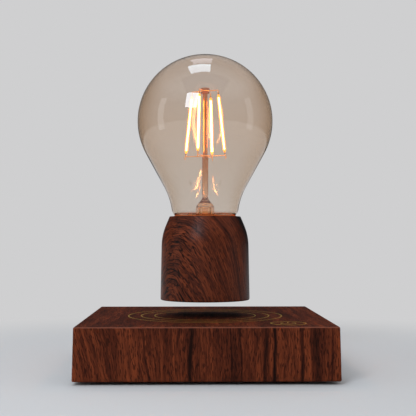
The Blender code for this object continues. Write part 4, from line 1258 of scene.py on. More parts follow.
@dataclass
class WoodenBase:
    """The square base: a hollow block of rosewood with three inlaid rings and a hole for the plug."""

    side: float = 0.125
    flare: float = 0.0005
    bottom: float = 0.0015
    top: float = BASE_TOP
    edge_round: float = 0.0008
    edge_steps: int = 5
    wall: float = 0.006
    roof: float = 0.004
    corner_block: float = 0.010
    cover_side: float = 0.117
    cover_thickness: float = 0.002
    ring_radii: tuple[float, ...] = (0.0270, 0.0342, 0.0410)
    ring_width: float = 0.0007
    ring_depth: float = 0.0004
    ring_gap: float = 0.00002
    ring_proud: float = 0.00002
    hole_radius: float = 0.006
    hole_x: float = 0.038
    hole_z: float = 0.0124
    hole_chamfer: float = 0.0005
    # How far a cutter stands out of what it cuts
    overrun: float = 0.002
    # Painted highlight on the rounded top edges: its strength, and the slopes between which a face is one
    highlight_strength: float = 0.5
    highlight_from: float = 0.2
    highlight_until: float = 0.97
    # Where in the sheet of veneer each face but the front is cut
    top_sheet: Point = (0.31, 0.17)
    under_sheet: Point = (0.31, 0.34)
    rear_sheet: float = 0.73
    right_sheet: float = 0.97
    left_sheet: float = 1.37

    def pocket_outline(self) -> list[Point]:
        """Draw the hollow: a square that leaves a block for a screw in each corner.

        Returns:
            The hollow's corners, as (x, y).
        """
        half = self.side / 2 - self.wall
        inner = half - self.corner_block
        outline = []
        for turn in range(4):
            spun = Matrix.Rotation(turn * math.pi / 2, 2)
            for corner in ((half, -inner), (half, inner), (inner, inner)):
                outline.append(tuple(spun @ Vector(corner)))
        return outline

    def cutters(self) -> list[Shape]:
        """Shape what is cut out of the block.

        Returns:
            The cover's rebate, the hollow, the rings' grooves and the plug's hole.
        """
        rebate_side = self.cover_side + 2 * FIT
        rebate = block_shape((rebate_side, rebate_side, self.overrun + self.cover_thickness + FIT))
        placed(rebate, Matrix.Translation((0, 0, self.bottom - self.overrun)))
        pocket_floor = self.bottom + self.cover_thickness / 2
        pocket = prism_shape(self.pocket_outline(), pocket_floor, self.top - self.roof)
        grooves = [
            ring_shape(
                radius - self.ring_width / 2,
                radius + self.ring_width / 2,
                self.top - self.ring_depth,
                self.top + self.overrun,
                FINE_TURN,
            )
            for radius in self.ring_radii
        ]
        rear = self.side / 2 + self.flare
        deep = self.wall + self.overrun
        outline = [
            (0, self.overrun),
            (self.hole_radius + self.hole_chamfer + self.overrun, self.overrun),
            (self.hole_radius, -self.hole_chamfer),
            (self.hole_radius, -deep),
            (0, -deep),
        ]
        hole = placed(
            turned(outline, MIDDLE_TURN),
            Matrix.Translation((self.hole_x, rear, self.hole_z)) @ Matrix.Rotation(-math.pi / 2, 4, "X"),
        )
        return [rebate, pocket, *grooves, hole]

    def lay_veneer(self, piece: bpy.types.Object) -> None:
        """Map each face so that the grain stands upright on the sides and runs front to back on top.

        Each side is cut from another part of the sheet, and the rounded top edges are marked for a painted
        highlight.

        Args:
            piece: The base's body, whose mesh gets the map.
        """
        mesh = piece.data
        mesh.uv_layers.new(name="veneer")
        mesh.attributes.new("painted_edge_highlight", "FLOAT", "CORNER")
        laid = mesh.uv_layers["veneer"].data
        painted_edge_highlight = mesh.attributes["painted_edge_highlight"].data
        for face in mesh.polygons:
            normal = face.normal
            sideways = max(abs(normal.x), abs(normal.y))
            # The rounded top edges' faces are marked for a painted highlight
            highlight_here = self.highlight_strength if self.highlight_from < normal.z < self.highlight_until else 0.0
            for loop in face.loop_indices:
                painted_edge_highlight[loop].value = highlight_here
                place = mesh.vertices[mesh.loops[loop].vertex_index].co
                if abs(normal.z) > sideways:
                    start_x, start_y = self.top_sheet if normal.z > 0 else self.under_sheet
                    sheet = (place.x + start_x, place.y + start_y)
                elif abs(normal.y) >= abs(normal.x):
                    sheet = (place.x if normal.y < 0 else place.x + self.rear_sheet, place.z)
                else:
                    sheet = (place.y + (self.right_sheet if normal.x > 0 else self.left_sheet), place.z)
                laid[loop].uv = sheet

    def build(self) -> None:
        """Make the body with its veneer, and the three inlaid rings."""
        shape = block_shape((self.side, self.side, self.top - self.bottom))
        placed(shape, Matrix.Translation((0, 0, self.bottom)))
        for vert in shape.verts:
            if vert.co.z < self.top / 2:
                vert.co.xy *= 1 + 2 * self.flare / self.side
        round_edges(shape, self.edge_round, self.edge_steps)
        body = add_piece("base_body", shape, ROSEWOOD_VENEER, Body.BASE, ["base_housing"])
        carve(body, self.cutters())
        self.lay_veneer(body)
        body.modifiers.new("even faces", "WEIGHTED_NORMAL").keep_sharp = True
        for index, radius in enumerate(self.ring_radii, start=1):
            half = self.ring_width / 2 - self.ring_gap
            inlay = ring_shape(
                radius - half,
                radius + half,
                self.top - self.ring_depth + self.ring_gap,
                self.top + self.ring_proud,
                FINE_TURN,
            )
            add_piece(f"ring_inlay_{index}", inlay, GOLD_FOIL, Body.BASE)


@dataclass
class TouchMark:
    """A generic switch mark on the top: a ring round the common sign for power."""

    x: float = 0.040
    y: float = -0.045
    top: float = BASE_TOP
    thickness: float = 0.00004
    stroke: float = 0.0007
    ring_radius: float = 0.0085
    sign_radius: float = 0.0036
    sign_gap: float = math.radians(70)
    bar_length: float = 0.0036
    bar_share: float = 0.8

    def build(self) -> None:
        """Make the mark of foil; its bar's middle lies at a share of the sign's radius."""
        half = self.stroke / 2
        ring = ring_shape(self.ring_radius - half, self.ring_radius + half, 0, self.thickness, FINE_TURN)
        section = [
            (self.sign_radius - half, 0),
            (self.sign_radius + half, 0),
            (self.sign_radius + half, self.thickness),
            (self.sign_radius - half, self.thickness),
        ]
        arc = placed(
            turned(section, MIDDLE_TURN, math.tau - self.sign_gap),
            Matrix.Rotation(math.pi / 2 + self.sign_gap / 2, 4, "Z"),
        )
        bar = block_shape((self.stroke, self.bar_length, self.thickness))
        placed(bar, Matrix.Translation((0, self.sign_radius * self.bar_share, 0)))
        mark = placed(joined([ring, arc, bar]), Matrix.Translation((self.x, self.y, self.top)))
        add_piece("touch_mark", mark, GOLD_FOIL, Body.BASE)


@dataclass
class Underside:
    """Cover, feet and screws under the base."""

    foot_offset: float = 0.040
    foot_radius: float = 0.0055
    foot_height: float = 0.0018
    foot_round: float = 0.0005
    tread_radius: float = 0.0032
    tread_depth: float = 0.0003
    screw_offset: float = 0.0515
    screw_bottom: float = 0.0017
    head_radius: float = 0.0028
    head_height: float = 0.001
    head_round: float = 0.0002
    shank_radius: float = 0.0015
    screw_length: float = 0.009
    recess_width: float = 0.0007
    recess_length: float = 0.0030
    recess_depth: float = 0.0007
    recess_turns: Point = (math.radians(20), math.radians(110))

    def corners(self, offset: float) -> list[Point]:
        """Return the four places at an offset from both middle planes, in the solids' order."""
        return [(x * offset, y * offset) for x in (-1, 1) for y in (-1, 1)]

    def build(self) -> None:
        """Make the feet and screws, and dress the cover."""
        dress(["bottom_cover"], BLACK_ABS)
        for index, (x, y) in enumerate(self.corners(self.foot_offset), start=1):
            corners = [
                (0, self.foot_height, 0),
                (self.foot_radius, self.foot_height, 0),
                (self.foot_radius, 0, self.foot_round),
                (self.tread_radius, 0, self.tread_depth / 2),
                (self.tread_radius - self.tread_depth, self.tread_depth, self.tread_depth / 2),
                (0, self.tread_depth, 0),
            ]
            foot = placed(turned(rounded(corners, closed=False), MIDDLE_TURN), Matrix.Translation((x, y, 0)))
            add_piece(
                f"rubber_foot_{index}", foot, BLACK_RUBBER, Body.BASE, [f"foot_{index}"]
            )
        for index, (x, y) in enumerate(self.corners(self.screw_offset), start=1):
            corners = [
                (0, 0, 0),
                (self.head_radius, 0, self.head_round),
                (self.head_radius, self.head_height, 0),
                (self.shank_radius, self.head_height, 0),
                (self.shank_radius, self.screw_length, 0),
                (0, self.screw_length, 0),
            ]
            here = Matrix.Translation((x, y, self.screw_bottom))
            screw = placed(turned(rounded(corners, closed=False), SMALL_TURN), here)
            piece = add_piece(
                f"cross_screw_{index}", screw, ZINC_STEEL, Body.BASE, [f"cover_screw_{index}"]
            )
            slots = []
            for turn in self.recess_turns:
                slot = block_shape((self.recess_length, self.recess_width, self.recess_depth * 2))
                lowered = Matrix.Translation((0, 0, -self.recess_depth))
                slots.append(placed(slot, here @ Matrix.Rotation(turn, 4, "Z") @ lowered))
            carve(piece, slots)


@dataclass
class PowerInlet:
    """The barrel socket behind the hole in the rear wall."""

    x: float = 0.038
    rear: float = 0.0562
    bottom: float = 0.0069
    width: float = 0.009
    depth: float = 0.0144
    height: float = 0.011
    edge: float = 0.0003
    bore_radius: float = 0.00315
    bore_depth: float = 0.0095
    lead_in: float = 0.0004
    pin_radius: float = 0.001
    pin_round: float = 0.0004
    pin_setback: float = 0.0015
    sleeve_wall: float = 0.0002
    sleeve_gap: float = 0.00002

    def aimed(self, shape: Shape) -> Shape:
        """Turn a shape made round Z so that it points out of the rear wall."""
        axis = Matrix.Translation((self.x, self.rear, self.bottom + self.height / 2))
        return placed(shape, axis @ Matrix.Rotation(-math.pi / 2, 4, "X"))

    def build(self) -> None:
        """Make the socket's body, its pin and its contact sleeve."""
        block = placed(
            block_shape((self.width, self.depth, self.height), self.edge),
            Matrix.Translation((self.x, self.rear - self.depth / 2, self.bottom)),
        )
        socket = add_piece("inlet_socket", block, BLACK_ABS, Body.BASE, ["power_inlet"])
        bore = [
            (0, self.lead_in),
            (self.bore_radius + 2 * self.lead_in, self.lead_in),
            (self.bore_radius, -self.lead_in),
            (self.bore_radius, -self.bore_depth),
            (0, -self.bore_depth),
        ]
        carve(socket, [self.aimed(turned(bore, MIDDLE_TURN))])
        pin = rod_shape(self.pin_radius, -self.bore_depth, -self.pin_setback, SMALL_TURN, self.pin_round)
        add_piece("inlet_pin", self.aimed(pin), NICKEL_PLATE, Body.BASE)
        sleeve = ring_shape(
            self.bore_radius - self.sleeve_wall,
            self.bore_radius - self.sleeve_gap,
            -self.bore_depth + self.lead_in,
            -2 * self.lead_in,
            MIDDLE_TURN,
        )
        add_piece("inlet_sleeve", self.aimed(sleeve), NICKEL_PLATE, Body.BASE)


@dataclass
class InsideOfBase:
    """What the base holds, which stays as the solids are."""

    finishes: dict[str, Finish] = field(
        default_factory=lambda: {
            "control_board": SOLDER_MASK,
            "ring_magnet": FERRITE,
            "coil_bobbin_": NYLON,
            "coil_winding_": COPPER_WINDING,
            "coil_core_": FERRITE,
            "field_sensor_": EPOXY,
            "driver_chip_": EPOXY,
            "supply_capacitor_": SLEEVE,
            "sender_coil": COPPER_WINDING,
            "touch_pad": COPPER_WINDING,
            "touch_spring": BRASS_WIRE,
        }
    )

    def build(self) -> None:
        """Dress each solid by how its name starts."""
        for start, finish in self.finishes.items():
            dress([node for node in frame["nodes"] if node.startswith(start)], finish)


@dataclass
class FloatingCup:
    """The turned cup, its black base disc, and what it holds."""

    underside: float = 0.0355
    height: float = 0.0447
    bottom_radius: float = 0.0240
    side_lean: float = math.radians(1.1)
    shoulder_lean: float = math.radians(23)
    shoulder_round: float = 0.030
    rim_radius: float = 0.01913
    mouth_radius: float = 0.01698
    edge_round: float = 0.0008
    rim_round: float = 0.0003
    chamber_radius: float = 0.021
    chamber_top: float = 0.0265
    disc_top: float = 0.0024
    disc_setback: float = 0.0004
    disc_ledge: float = 0.0008
    disc_round: float = 0.0003
    finishes: dict[str, Finish] = field(
        default_factory=lambda: {
            "float_magnet": NICKEL_PLATE,
            "receiver_coil": COPPER_WINDING,
            "magnet_carrier": BLACK_ABS,
            "rectifier_board": SOLDER_MASK,
            "bridge_rectifier": EPOXY,
            "smoothing_capacitor": SLEEVE,
            "choke": FERRITE,
        }
    )

    def outline(self) -> list[Point]:
        """Draw the cup's section: leaning side, rounded shoulder, rim, mouth and chamber.

        Returns:
            The section's points, as (radius, height).
        """
        side_fall = math.tan(self.side_lean)
        shoulder_fall = math.tan(self.shoulder_lean)
        reach = self.rim_radius + self.height * shoulder_fall - self.bottom_radius
        shoulder = reach / (shoulder_fall - side_fall)
        seat = self.disc_top + FIT
        corners = [
            (self.bottom_radius, 0, self.edge_round),
            (self.bottom_radius - shoulder * side_fall, shoulder, self.shoulder_round),
            (self.rim_radius, self.height, self.rim_round),
            (self.mouth_radius, self.height, self.rim_round),
            (self.mouth_radius, self.chamber_top, 0),
            (self.chamber_radius, self.chamber_top, 0),
            (self.chamber_radius, seat, 0),
            (self.chamber_radius + self.disc_ledge, seat, 0),
            (self.chamber_radius + self.disc_ledge, 0, 0),
        ]
        section = rounded(corners, step=FINE_ARC)
        return [(radius, height + self.underside) for radius, height in section]

    def build(self) -> None:
        """Make the cup and its disc, and dress what they hide."""
        cup = turned(self.outline(), FINE_TURN)
        add_piece("turned_cup", cup, ROSEWOOD_TURNED, Body.LAMP, ["lamp_cup"])
        disc = rod_shape(
            self.chamber_radius + self.disc_ledge - FIT,
            self.underside + self.disc_setback,
            self.underside + self.disc_top,
            FINE_TURN,
            self.disc_round,
        )
        add_piece("base_disc", disc, BLACK_ABS, Body.LAMP, ["cup_base_disc"])
        for node, finish in self.finishes.items():
            dress([node], finish)


@dataclass
class GlassBulb:
    """The blown envelope, its seal in the cup's mouth, and the ceramic collar that it stands in."""

    rim: float = CUP_RIM
    wall: float = 0.0009
    radius: float = 0.0365
    # How much lower the dome is than half a ball
    flattening: float = 0.0004
    cone_lean: float = math.radians(28.8)
    neck_lean: float = math.radians(9.6)
    throat_radius: float = 0.01915
    throat_above_rim: float = 0.01067
    throat_round: float = 0.038
    heel_round: float = 0.005
    heel_sunk: float = 0.0007
    tail_radius: float = 0.01152
    tail_round: float = 0.0004
    tail_end: float = GLASS_END
    glass_sharp: float = math.radians(60)
    seal_height: float = 0.0004
    seal_radius: float = 0.01668
    collar_bottom: float = 0.0602
    collar_flange: float = 0.0015
    collar_radius: float = 0.01668
    collar_flange_radius: float = 0.0207
    collar_skirt_wall: float = 0.003
    collar_floor: float = 0.0015
    collar_shelf: float = 0.0013

    def side(self) -> list[Point]:
        """Draw the outside of the glass, from its pole down to the end of its tail.

        Returns:
            The outline's points, as (radius, height).
        """
        heel = self.rim - self.heel_sunk
        throat = self.rim + self.throat_above_rim
        cone_top_radius = self.radius * math.cos(self.cone_lean)
        cone_top = throat + (cone_top_radius - self.throat_radius) / math.tan(self.cone_lean)
        centre = cone_top + self.radius * math.sin(self.cone_lean)
        dome = self.radius - self.flattening
        corners: list[Corner] = []
        dome_steps = math.ceil(math.pi / 2 / FINE_ARC)
        belly_steps = math.ceil(self.cone_lean / FINE_ARC)
        for index in range(dome_steps):
            turn = math.pi / 2 * index / dome_steps
            corners.append((self.radius * math.sin(turn), centre + dome * math.cos(turn), 0))
        for index in range(belly_steps + 1):
            turn = self.cone_lean * index / belly_steps
            corners.append((self.radius * math.cos(turn), centre - self.radius * math.sin(turn), 0))
        heel_corner = self.throat_radius - (throat - heel) * math.tan(self.neck_lean)
        corners.append((self.throat_radius, throat, self.throat_round))
        corners.append((heel_corner, heel, self.heel_round))
        corners.append((self.tail_radius, heel, self.tail_round))
        corners.append((self.tail_radius, self.tail_end, 0))
        return rounded(corners, closed=False, step=FINE_ARC)

    def build(self) -> None:
        """Make the envelope, the seal and the collar."""
        outside = self.side()
        inside = moved_out(outside, -self.wall)
        bulb = turned(outside + inside[::-1], FINE_TURN)
        add_piece(
            "blown_bulb", bulb, SMOKED_GLASS, Body.LAMP, ["glass_bulb"], self.glass_sharp
        )
        seal_top = self.rim + self.seal_height
        seal_bottom = self.rim - self.heel_sunk
        hug = between_heights(moved_out(outside, FIT), seal_bottom, seal_top)
        seal = turned([(self.seal_radius, seal_top), *hug, (self.seal_radius, seal_bottom)], FINE_TURN)
        add_piece("mouth_seal", seal, AMBER_SEAL, Body.LAMP, ["neck_seal"])
        skirt_bore = self.collar_radius - self.collar_skirt_wall
        shelf_top = self.tail_end - FIT
        floor_bottom = shelf_top - self.collar_floor
        flange_top = self.collar_bottom + self.collar_flange
        sleeve_bore = self.tail_radius + FIT
        shelf_radius = self.tail_radius - self.wall - FIT - self.collar_shelf
        section = [
            (skirt_bore, self.collar_bottom),
            (self.collar_flange_radius, self.collar_bottom),
            (self.collar_flange_radius, flange_top),
            (self.collar_radius, flange_top),
            (self.collar_radius, seal_bottom - FIT),
            (sleeve_bore, seal_bottom - FIT),
            (sleeve_bore, shelf_top),
            (shelf_radius, shelf_top),
            (shelf_radius, floor_bottom),
            (skirt_bore, floor_bottom),
        ]
        collar = turned(section, FINE_TURN)
        add_piece("ceramic_collar", collar, FIRED_CERAMIC, Body.LAMP, ["neck_collar"])


@dataclass
class FilamentCage:
    """Stem, support wires, leads and the four lit sticks inside the bulb."""

    rim: float = CUP_RIM
    bulb_centre: float = 0.1318
    # How many sticks there are, where the first stands, and how far each top is turned from its foot
    count: int = 4
    start: float = math.radians(249.1)
    twist: float = math.radians(-3.4)
    top_radius: float = 0.0078
    bottom_radius: float = 0.0112
    top_above_centre: float = 0.0143
    bottom_below_centre: float = 0.0171
    coat_radius: float = 0.0009
    coat_round: float = 0.001
    tip_radius: float = 0.00038
    tip_round: float = 0.0002
    tip_length: float = 0.0017
    tip_inset: float = 0.0006
    strip_inset: float = 0.0017
    # Half the strip's width and half its thickness
    strip_half: Point = (0.00052, 0.0003)
    strip_round: float = 0.00015
    strip_steps: int = 2
    tab_length: float = 0.0009
    tab_radius: float = 0.0003
    wire_radius: float = 0.0002
    wire_ring_radius: float = 0.0003
    wire_ring_steps: int = 12
    # A weld bead's radius as a share of what it joins
    bead_share: float = 1.3
    wire_bend: float = 0.0006
    wire_hook: float = 0.0016
    upper_drop: float = 0.0015
    lower_rise: float = 0.0007
    stem_foot: float = GLASS_END
    stem_foot_radius: float = 0.01032
    stem_wall: float = 0.001
    stem_foot_round: float = 0.004
    stem_sharp: float = math.radians(50)
    tube_radius: float = 0.005
    tube_above_rim: float = 0.0043
    shoulder: float = 0.007
    shoulder_steps: int = 24
    cavity_steps: int = 12
    waist_radius: float = 0.0014
    waist_flare: float = 0.0008
    post_radius: float = 0.0017
    post_round: float = 0.000325
    exhaust_setback: float = 0.0015
    rod_radius: float = 0.0013
    button_radius: float = 0.0024
    button_bead: float = 0.001
    button_round: float = 0.0007
    groove_radius: float = 0.0015
    lead_radius: float = 0.0003
    lead_bottom: float = 0.0537

    def axes(self) -> list[tuple[Vector, Vector]]:
        """Find where the sticks stand: on a circle, leaning inwards, each top turned a little from its foot.

        Returns:
            The bottom and the top end of each stick's lit part.
        """
        found = []
        for index in range(self.count):
            turn = self.start + index * math.tau / self.count
            bottom = Vector((
                self.bottom_radius * math.cos(turn),
                self.bottom_radius * math.sin(turn),
                self.bulb_centre - self.bottom_below_centre,
            ))
            top = Vector((
                self.top_radius * math.cos(turn + self.twist),
                self.top_radius * math.sin(turn + self.twist),
                self.bulb_centre + self.top_above_centre,
            ))
            found.append((bottom, top))
        return found

    def tab_ends(self) -> list[tuple[Vector, Vector]]:
        """Find where the sticks' metal tabs end.

        Returns:
            The end of the lower and of the upper tab of each stick.
        """
        ends = []
        for bottom, top in self.axes():
            along = (top - bottom).normalized() * self.tab_length
            ends.append((bottom - along, top + along))
        return ends

    def wire_heights(self) -> tuple[float, float]:
        """Return the heights of the lower and the upper support wires."""
        lower_end, upper_end = self.tab_ends()[0]
        return lower_end.z - self.lower_rise, upper_end.z + self.upper_drop

    def build_stem(self) -> None:
        """Make the stem (flared foot, tube, drawn shoulder, post, rod and grooved button) and its leads."""
        lower_wires, upper_wires = self.wire_heights()
        groove_half = self.wire_ring_radius + FIT
        post_top = lower_wires - self.wire_ring_radius - FIT
        tube_top = self.rim + self.tube_above_rim
        waist = tube_top + self.shoulder
        foot_top = self.stem_foot + self.stem_wall
        button_top = upper_wires + groove_half + self.button_bead
        button_bottom = upper_wires - groove_half - self.button_bead
        cavity_radius = self.tube_radius - self.stem_wall
        cavity_round = (cavity_radius - self.post_radius) / 2
        lead_offset = (cavity_radius + self.post_radius) / 2
        exhaust_end = self.stem_foot + self.exhaust_setback
        corners: list[Corner] = [
            (0, button_top, 0),
            (self.button_radius, button_top, self.button_round),
            (self.button_radius, upper_wires + groove_half, 0),
            (self.groove_radius, upper_wires + groove_half, 0),
            (self.groove_radius, upper_wires - groove_half, 0),
            (self.button_radius, upper_wires - groove_half, 0),
            (self.button_radius, button_bottom, self.button_round),
            (self.rod_radius, button_bottom, 0),
            (self.rod_radius, post_top, 0),
            (self.post_radius, post_top, self.post_round),
            (self.post_radius, waist + self.waist_flare, 0),
        ]
        for index in range(self.shoulder_steps + 1):
            share = (1 + math.cos(math.pi * index / self.shoulder_steps)) / 2
            radius = self.tube_radius + (self.waist_radius - self.tube_radius) * share
            corners.append((radius, waist + (tube_top - waist) * index / self.shoulder_steps, 0))
        corners += [
            (self.tube_radius, foot_top, self.stem_foot_round),
            (self.stem_foot_radius, foot_top, 0),
            (self.stem_foot_radius, self.stem_foot, 0),
            (cavity_radius, self.stem_foot, self.stem_foot_round + self.stem_wall),
        ]
        for index in range(self.cavity_steps + 1):
            turn = math.pi * index / self.cavity_steps
            radius = lead_offset + cavity_round * math.cos(turn)
            corners.append((radius, tube_top + cavity_round * math.sin(turn), 0))
        corners += [(self.post_radius, exhaust_end, self.stem_wall), (0, exhaust_end, 0)]
        stem = turned(rounded(corners, closed=False), MIDDLE_TURN)
        add_piece("drawn_stem", stem, CLEAR_GLASS, Body.LAMP, ["glass_stem"], self.stem_sharp)
        for index, side in enumerate((-1, 1), start=1):
            lead = rod_shape(self.lead_radius, self.lead_bottom, tube_top + cavity_round - FIT, SMALL_TURN)
            placed(lead, Matrix.Translation((side * lead_offset, 0, 0)))
            add_piece(
                f"stem_lead_{index}", lead, NICKEL_WIRE, Body.LAMP, [f"lead_wire_{index}"]
            )

    def build_wires(self, name: str, ends: Sequence[Vector], ring: float, height: float, node: str) -> None:
        """Make one crown of wires: a ring round the stem, an arm to each stick, and the lower arms' hooks.

        Args:
            name: The piece's name.
            ends: Where the sticks' tabs end.
            ring: The ring's radius.
            height: The ring's height.
            node: The solid that it stands for.
        """
        section = [
            (ring + self.wire_ring_radius * math.cos(turn), height + self.wire_ring_radius * math.sin(turn))
            for turn in (math.tau * index / self.wire_ring_steps for index in range(self.wire_ring_steps))
        ]
        shapes = [turned(section, MIDDLE_TURN)]
        for end in ends:
            out = Vector((end.x, end.y, 0)).normalized()
            reach = Vector((end.x, end.y, 0)).length
            up = math.copysign(1.0, end.z - height)
            level = Vector((0, 0, height))
            path = [
                out * ring + level,
                out * (reach - 2 * self.wire_bend) + level,
                out * reach + level,
                out * reach + level + Vector((0, 0, up * self.wire_bend)),
                end,
            ]
            shapes.append(wire_shape(path, self.wire_radius))
            if up > 0:
                hook = [
                    out * (reach - self.wire_bend) + level,
                    out * (reach + self.wire_bend) + level,
                    out * (reach + self.wire_bend) + level - Vector((0, 0, up * self.wire_hook / 2)),
                    out * (reach + self.wire_bend / 2) + level - Vector((0, 0, up * self.wire_hook)),
                ]
                shapes.append(wire_shape(hook, self.wire_radius))
            weld = out * (ring + self.wire_radius) + level
            shapes.append(bead_shape(end, self.tab_radius * self.bead_share))
            shapes.append(bead_shape(weld, self.wire_ring_radius * self.bead_share))
        add_piece(name, joined(shapes), WIRE_IN_PAINTED_LIGHT, Body.LAMP, [node])

    def build_sticks(self) -> None:
        """Make each lit stick: a bright strip, its coat, and a metal tab at each end.

        The point light in the cage lights the rest of the lamp for them, so diffuse rays pass them by.
        """
        for index, (bottom, top) in enumerate(self.axes(), start=1):
            length = (top - bottom).length
            lean = Vector((0, 0, 1)).rotation_difference(top - bottom).to_matrix().to_4x4()
            outward = Matrix.Rotation(math.atan2(bottom.y, bottom.x), 4, "Z")
            here = Matrix.Translation(bottom) @ lean
            corners = [
                (0, length, 0),
                (self.tip_radius, length, self.tip_round),
                (self.coat_radius, length - self.tip_length, self.coat_round),
                (self.coat_radius, self.tip_length, self.coat_round),
                (self.tip_radius, 0, self.tip_round),
                (0, 0, 0),
            ]
            coat = placed(turned(rounded(corners, closed=False, step=SMALL_ARC), SMALL_TURN), here)
            outer = add_piece(
                f"stick_coat_{index}", coat, PHOSPHOR_COAT, Body.LAMP, [f"filament_{index}"]
            )
            half_wide, half_thick = self.strip_half
            strip_size = (2 * half_thick, 2 * half_wide, length - 2 * self.strip_inset)
            strip = block_shape(strip_size, self.strip_round, self.strip_steps)
            placed(strip, here @ outward @ Matrix.Translation((0, 0, self.strip_inset)))
            core = add_piece(f"stick_strip_{index}", strip, LIT_STRIP, Body.LAMP)
            outer.visible_diffuse = False
            core.visible_diffuse = False
            spans = ((-self.tab_length, self.tip_inset), (length - self.tip_inset, length + self.tab_length))
            tabs = joined([rod_shape(self.tab_radius, low, high, SMALL_TURN) for low, high in spans])
            add_piece(f"stick_tabs_{index}", placed(tabs, here), NICKEL_WIRE, Body.LAMP)

    def build(self) -> None:
        """Make the stem, both crowns of wires and the sticks."""
        self.build_stem()
        lower_wires, upper_wires = self.wire_heights()
        lower_ring = self.rod_radius + FIT + self.wire_ring_radius
        upper_ring = self.groove_radius + FIT + self.wire_ring_radius
        lower_ends = [lower for lower, _ in self.tab_ends()]
        upper_ends = [upper for _, upper in self.tab_ends()]
        self.build_wires("lower_crown", lower_ends, lower_ring, lower_wires, "lower_support_wires")
        self.build_wires("upper_crown", upper_ends, upper_ring, upper_wires, "upper_support_wires")
        self.build_sticks()


@dataclass(frozen=True)
class Softbox:
    """A soft studio light: its place, its width and height, and how bright its face is, where 1 is white."""

    name: str
    place: Triple
    size: Point
    radiance: float
    shade: str = "ffffff"


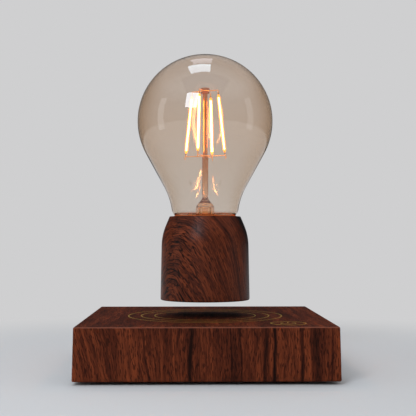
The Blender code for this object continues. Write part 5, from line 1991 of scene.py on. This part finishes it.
@dataclass
class Studio:
    """Camera, pale floor and backdrop, and soft lamps."""

    camera_place: Triple = (-0.0068, -0.4703, 0.0680)
    pitch: float = math.radians(2.05)
    yaw: float = math.radians(-1.02)
    # The focal length and the picture's width in pixels, and the sensor's width
    focal_length: float = 870.0
    picture_width: float = 416.0
    sensor_mm: float = 36.0
    floor_size: float = 3.0
    floor_gap: float = 0.00005
    card_radius: float = 1.2
    ambient: str = "eef2f7"
    ambient_strength: float = 0.52
    aim: Triple = (0.0, 0.0, 0.12)
    # A box more nearly overhead than this share of straight up is laid square to the base
    overhead: float = 0.8
    softboxes: tuple[Softbox, ...] = (
        Softbox("top_box", (-0.077, 0.054, 0.925), (0.31, 0.30), 5.2, "def1ff"),
        Softbox("rear_box", (-0.030, 0.36, 0.860), (0.22, 0.26), 1.6, "ece8f4"),
        Softbox("key_box", (-0.268, -0.602, 0.480), (0.24, 0.33), 9.6, "eaf4ff"),
        Softbox("left_box", (-0.60, -0.12, 0.20), (0.14, 0.50), 1.0),
        Softbox("right_box", (0.60, -0.12, 0.20), (0.14, 0.50), 0.7),
    )
    glow_height: float = 0.13
    glow_radius: float = 0.008
    glow_watts: float = 0.06
    glow_shade: str = "ffb070"

    def add_camera(self) -> None:
        """Stand the camera where the photograph's was; its focal length is in the picture's pixels."""
        data = bpy.data.cameras.new("camera")
        data.lens = self.focal_length / self.picture_width * self.sensor_mm
        camera = bpy.data.objects.new("camera", data)
        camera.location = self.camera_place
        camera.rotation_euler = (math.pi / 2 + self.pitch, 0, self.yaw)
        bpy.context.scene.collection.objects.link(camera)
        bpy.context.scene.camera = camera

    def add_world(self) -> None:
        """Light everything softly, and show the plain backdrop where it is seen."""
        world = bpy.data.worlds.new("studio")
        world.use_nodes = True
        tree = world.node_tree
        soft = tree.nodes["Background"]
        soft.inputs["Color"].default_value = colour(self.ambient)
        soft.inputs["Strength"].default_value = self.ambient_strength
        plain = {"Color": colour(BACKDROP), "Strength": 1.0}
        paper = add_node(tree, "ShaderNodeBackground", plain).outputs[0]
        both = add_node(tree, "ShaderNodeMixShader", {0: seen(tree), 1: soft.outputs[0], 2: paper}).outputs[0]
        tree.links.new(both, tree.nodes["World Output"].inputs["Surface"])
        bpy.context.scene.world = world

    def add_floor(self) -> None:
        """Lay a wide floor just under the feet."""
        shape = bmesh.new()
        bmesh.ops.create_circle(shape, cap_ends=True, segments=MIDDLE_TURN, radius=self.floor_size)
        bmesh.ops.translate(shape, verts=shape.verts, vec=(0, 0, -self.floor_gap))
        floor = made_object("floor", shape)
        floor.data.materials.append(PAPER_FLOOR.material())

    def add_cards(self) -> None:
        """Stand a ring of grey card round the set, which only gloss shows: it gives the glass dark edges."""
        shape = bmesh.new()
        foot = bmesh.ops.create_circle(shape, segments=MIDDLE_TURN, radius=self.card_radius)
        bmesh.ops.translate(shape, verts=foot["verts"], vec=(0, 0, GREY_CARD.low))
        grown = bmesh.ops.extrude_edge_only(shape, edges=shape.edges[:])
        tops = [item for item in grown["geom"] if isinstance(item, bmesh.types.BMVert)]
        bmesh.ops.translate(shape, verts=tops, vec=(0, 0, GREY_CARD.high - GREY_CARD.low))
        card = made_object("dark_card", shape)
        for sort in ("camera", "diffuse", "transmission", "volume_scatter", "shadow"):
            setattr(card, f"visible_{sort}", False)
        card.data.materials.append(GREY_CARD.material())

    def add_softbox(self, box: Softbox) -> None:
        """Hang a soft box that faces the lamp.

        Args:
            box: The soft box.
        """
        data = bpy.data.lights.new(box.name, "AREA")
        data.shape = "RECTANGLE"
        data.size, data.size_y = box.size
        data.energy = box.radiance * math.pi * box.size[0] * box.size[1]
        data.color = colour(box.shade)[:3]
        light = bpy.data.objects.new(box.name, data)
        light.location = box.place
        back = (Vector(box.place) - Vector(self.aim)).normalized()
        upward = Vector((0, 1, 0)) if back.z > self.overhead else Vector((0, 0, 1))
        across = upward.cross(back).normalized()
        light.rotation_euler = Matrix((across, back.cross(across), back)).transposed().to_euler()
        light.visible_camera = False
        light.visible_transmission = False
        bpy.context.scene.collection.objects.link(light)

    def add_glow(self) -> None:
        """Light the neck, the wires and the cup's rim as the sticks do, from the middle of the cage."""
        data = bpy.data.lights.new("stick_light", "POINT")
        data.energy = self.glow_watts
        data.color = colour(self.glow_shade)[:3]
        data.shadow_soft_size = self.glow_radius
        glow = bpy.data.objects.new("stick_light", data)
        glow.location = (0, 0, self.glow_height)
        for sort in ("camera", "glossy", "transmission"):
            setattr(glow, f"visible_{sort}", False)
        glow.parent = frame["bodies"]["lamp"]
        bpy.context.scene.collection.objects.link(glow)

    def build(self) -> None:
        """Set up the whole studio."""
        self.add_camera()
        self.add_world()
        self.add_floor()
        self.add_cards()
        for box in self.softboxes:
            self.add_softbox(box)
        self.add_glow()
        bpy.context.scene.view_settings.view_transform = "Standard"


def main() -> None:
    """Build every sub-assembly in order."""
    logging.basicConfig(level=logging.INFO, format="%(name)s: %(message)s")
    for assembly in (
        Studio(),
        WoodenBase(),
        TouchMark(),
        Underside(),
        PowerInlet(),
        InsideOfBase(),
        FloatingCup(),
        GlassBulb(),
        FilamentCage(),
    ):
        LOG.info("building %s", type(assembly).__name__)
        assembly.build()


if __name__ == "__main__":
    main()
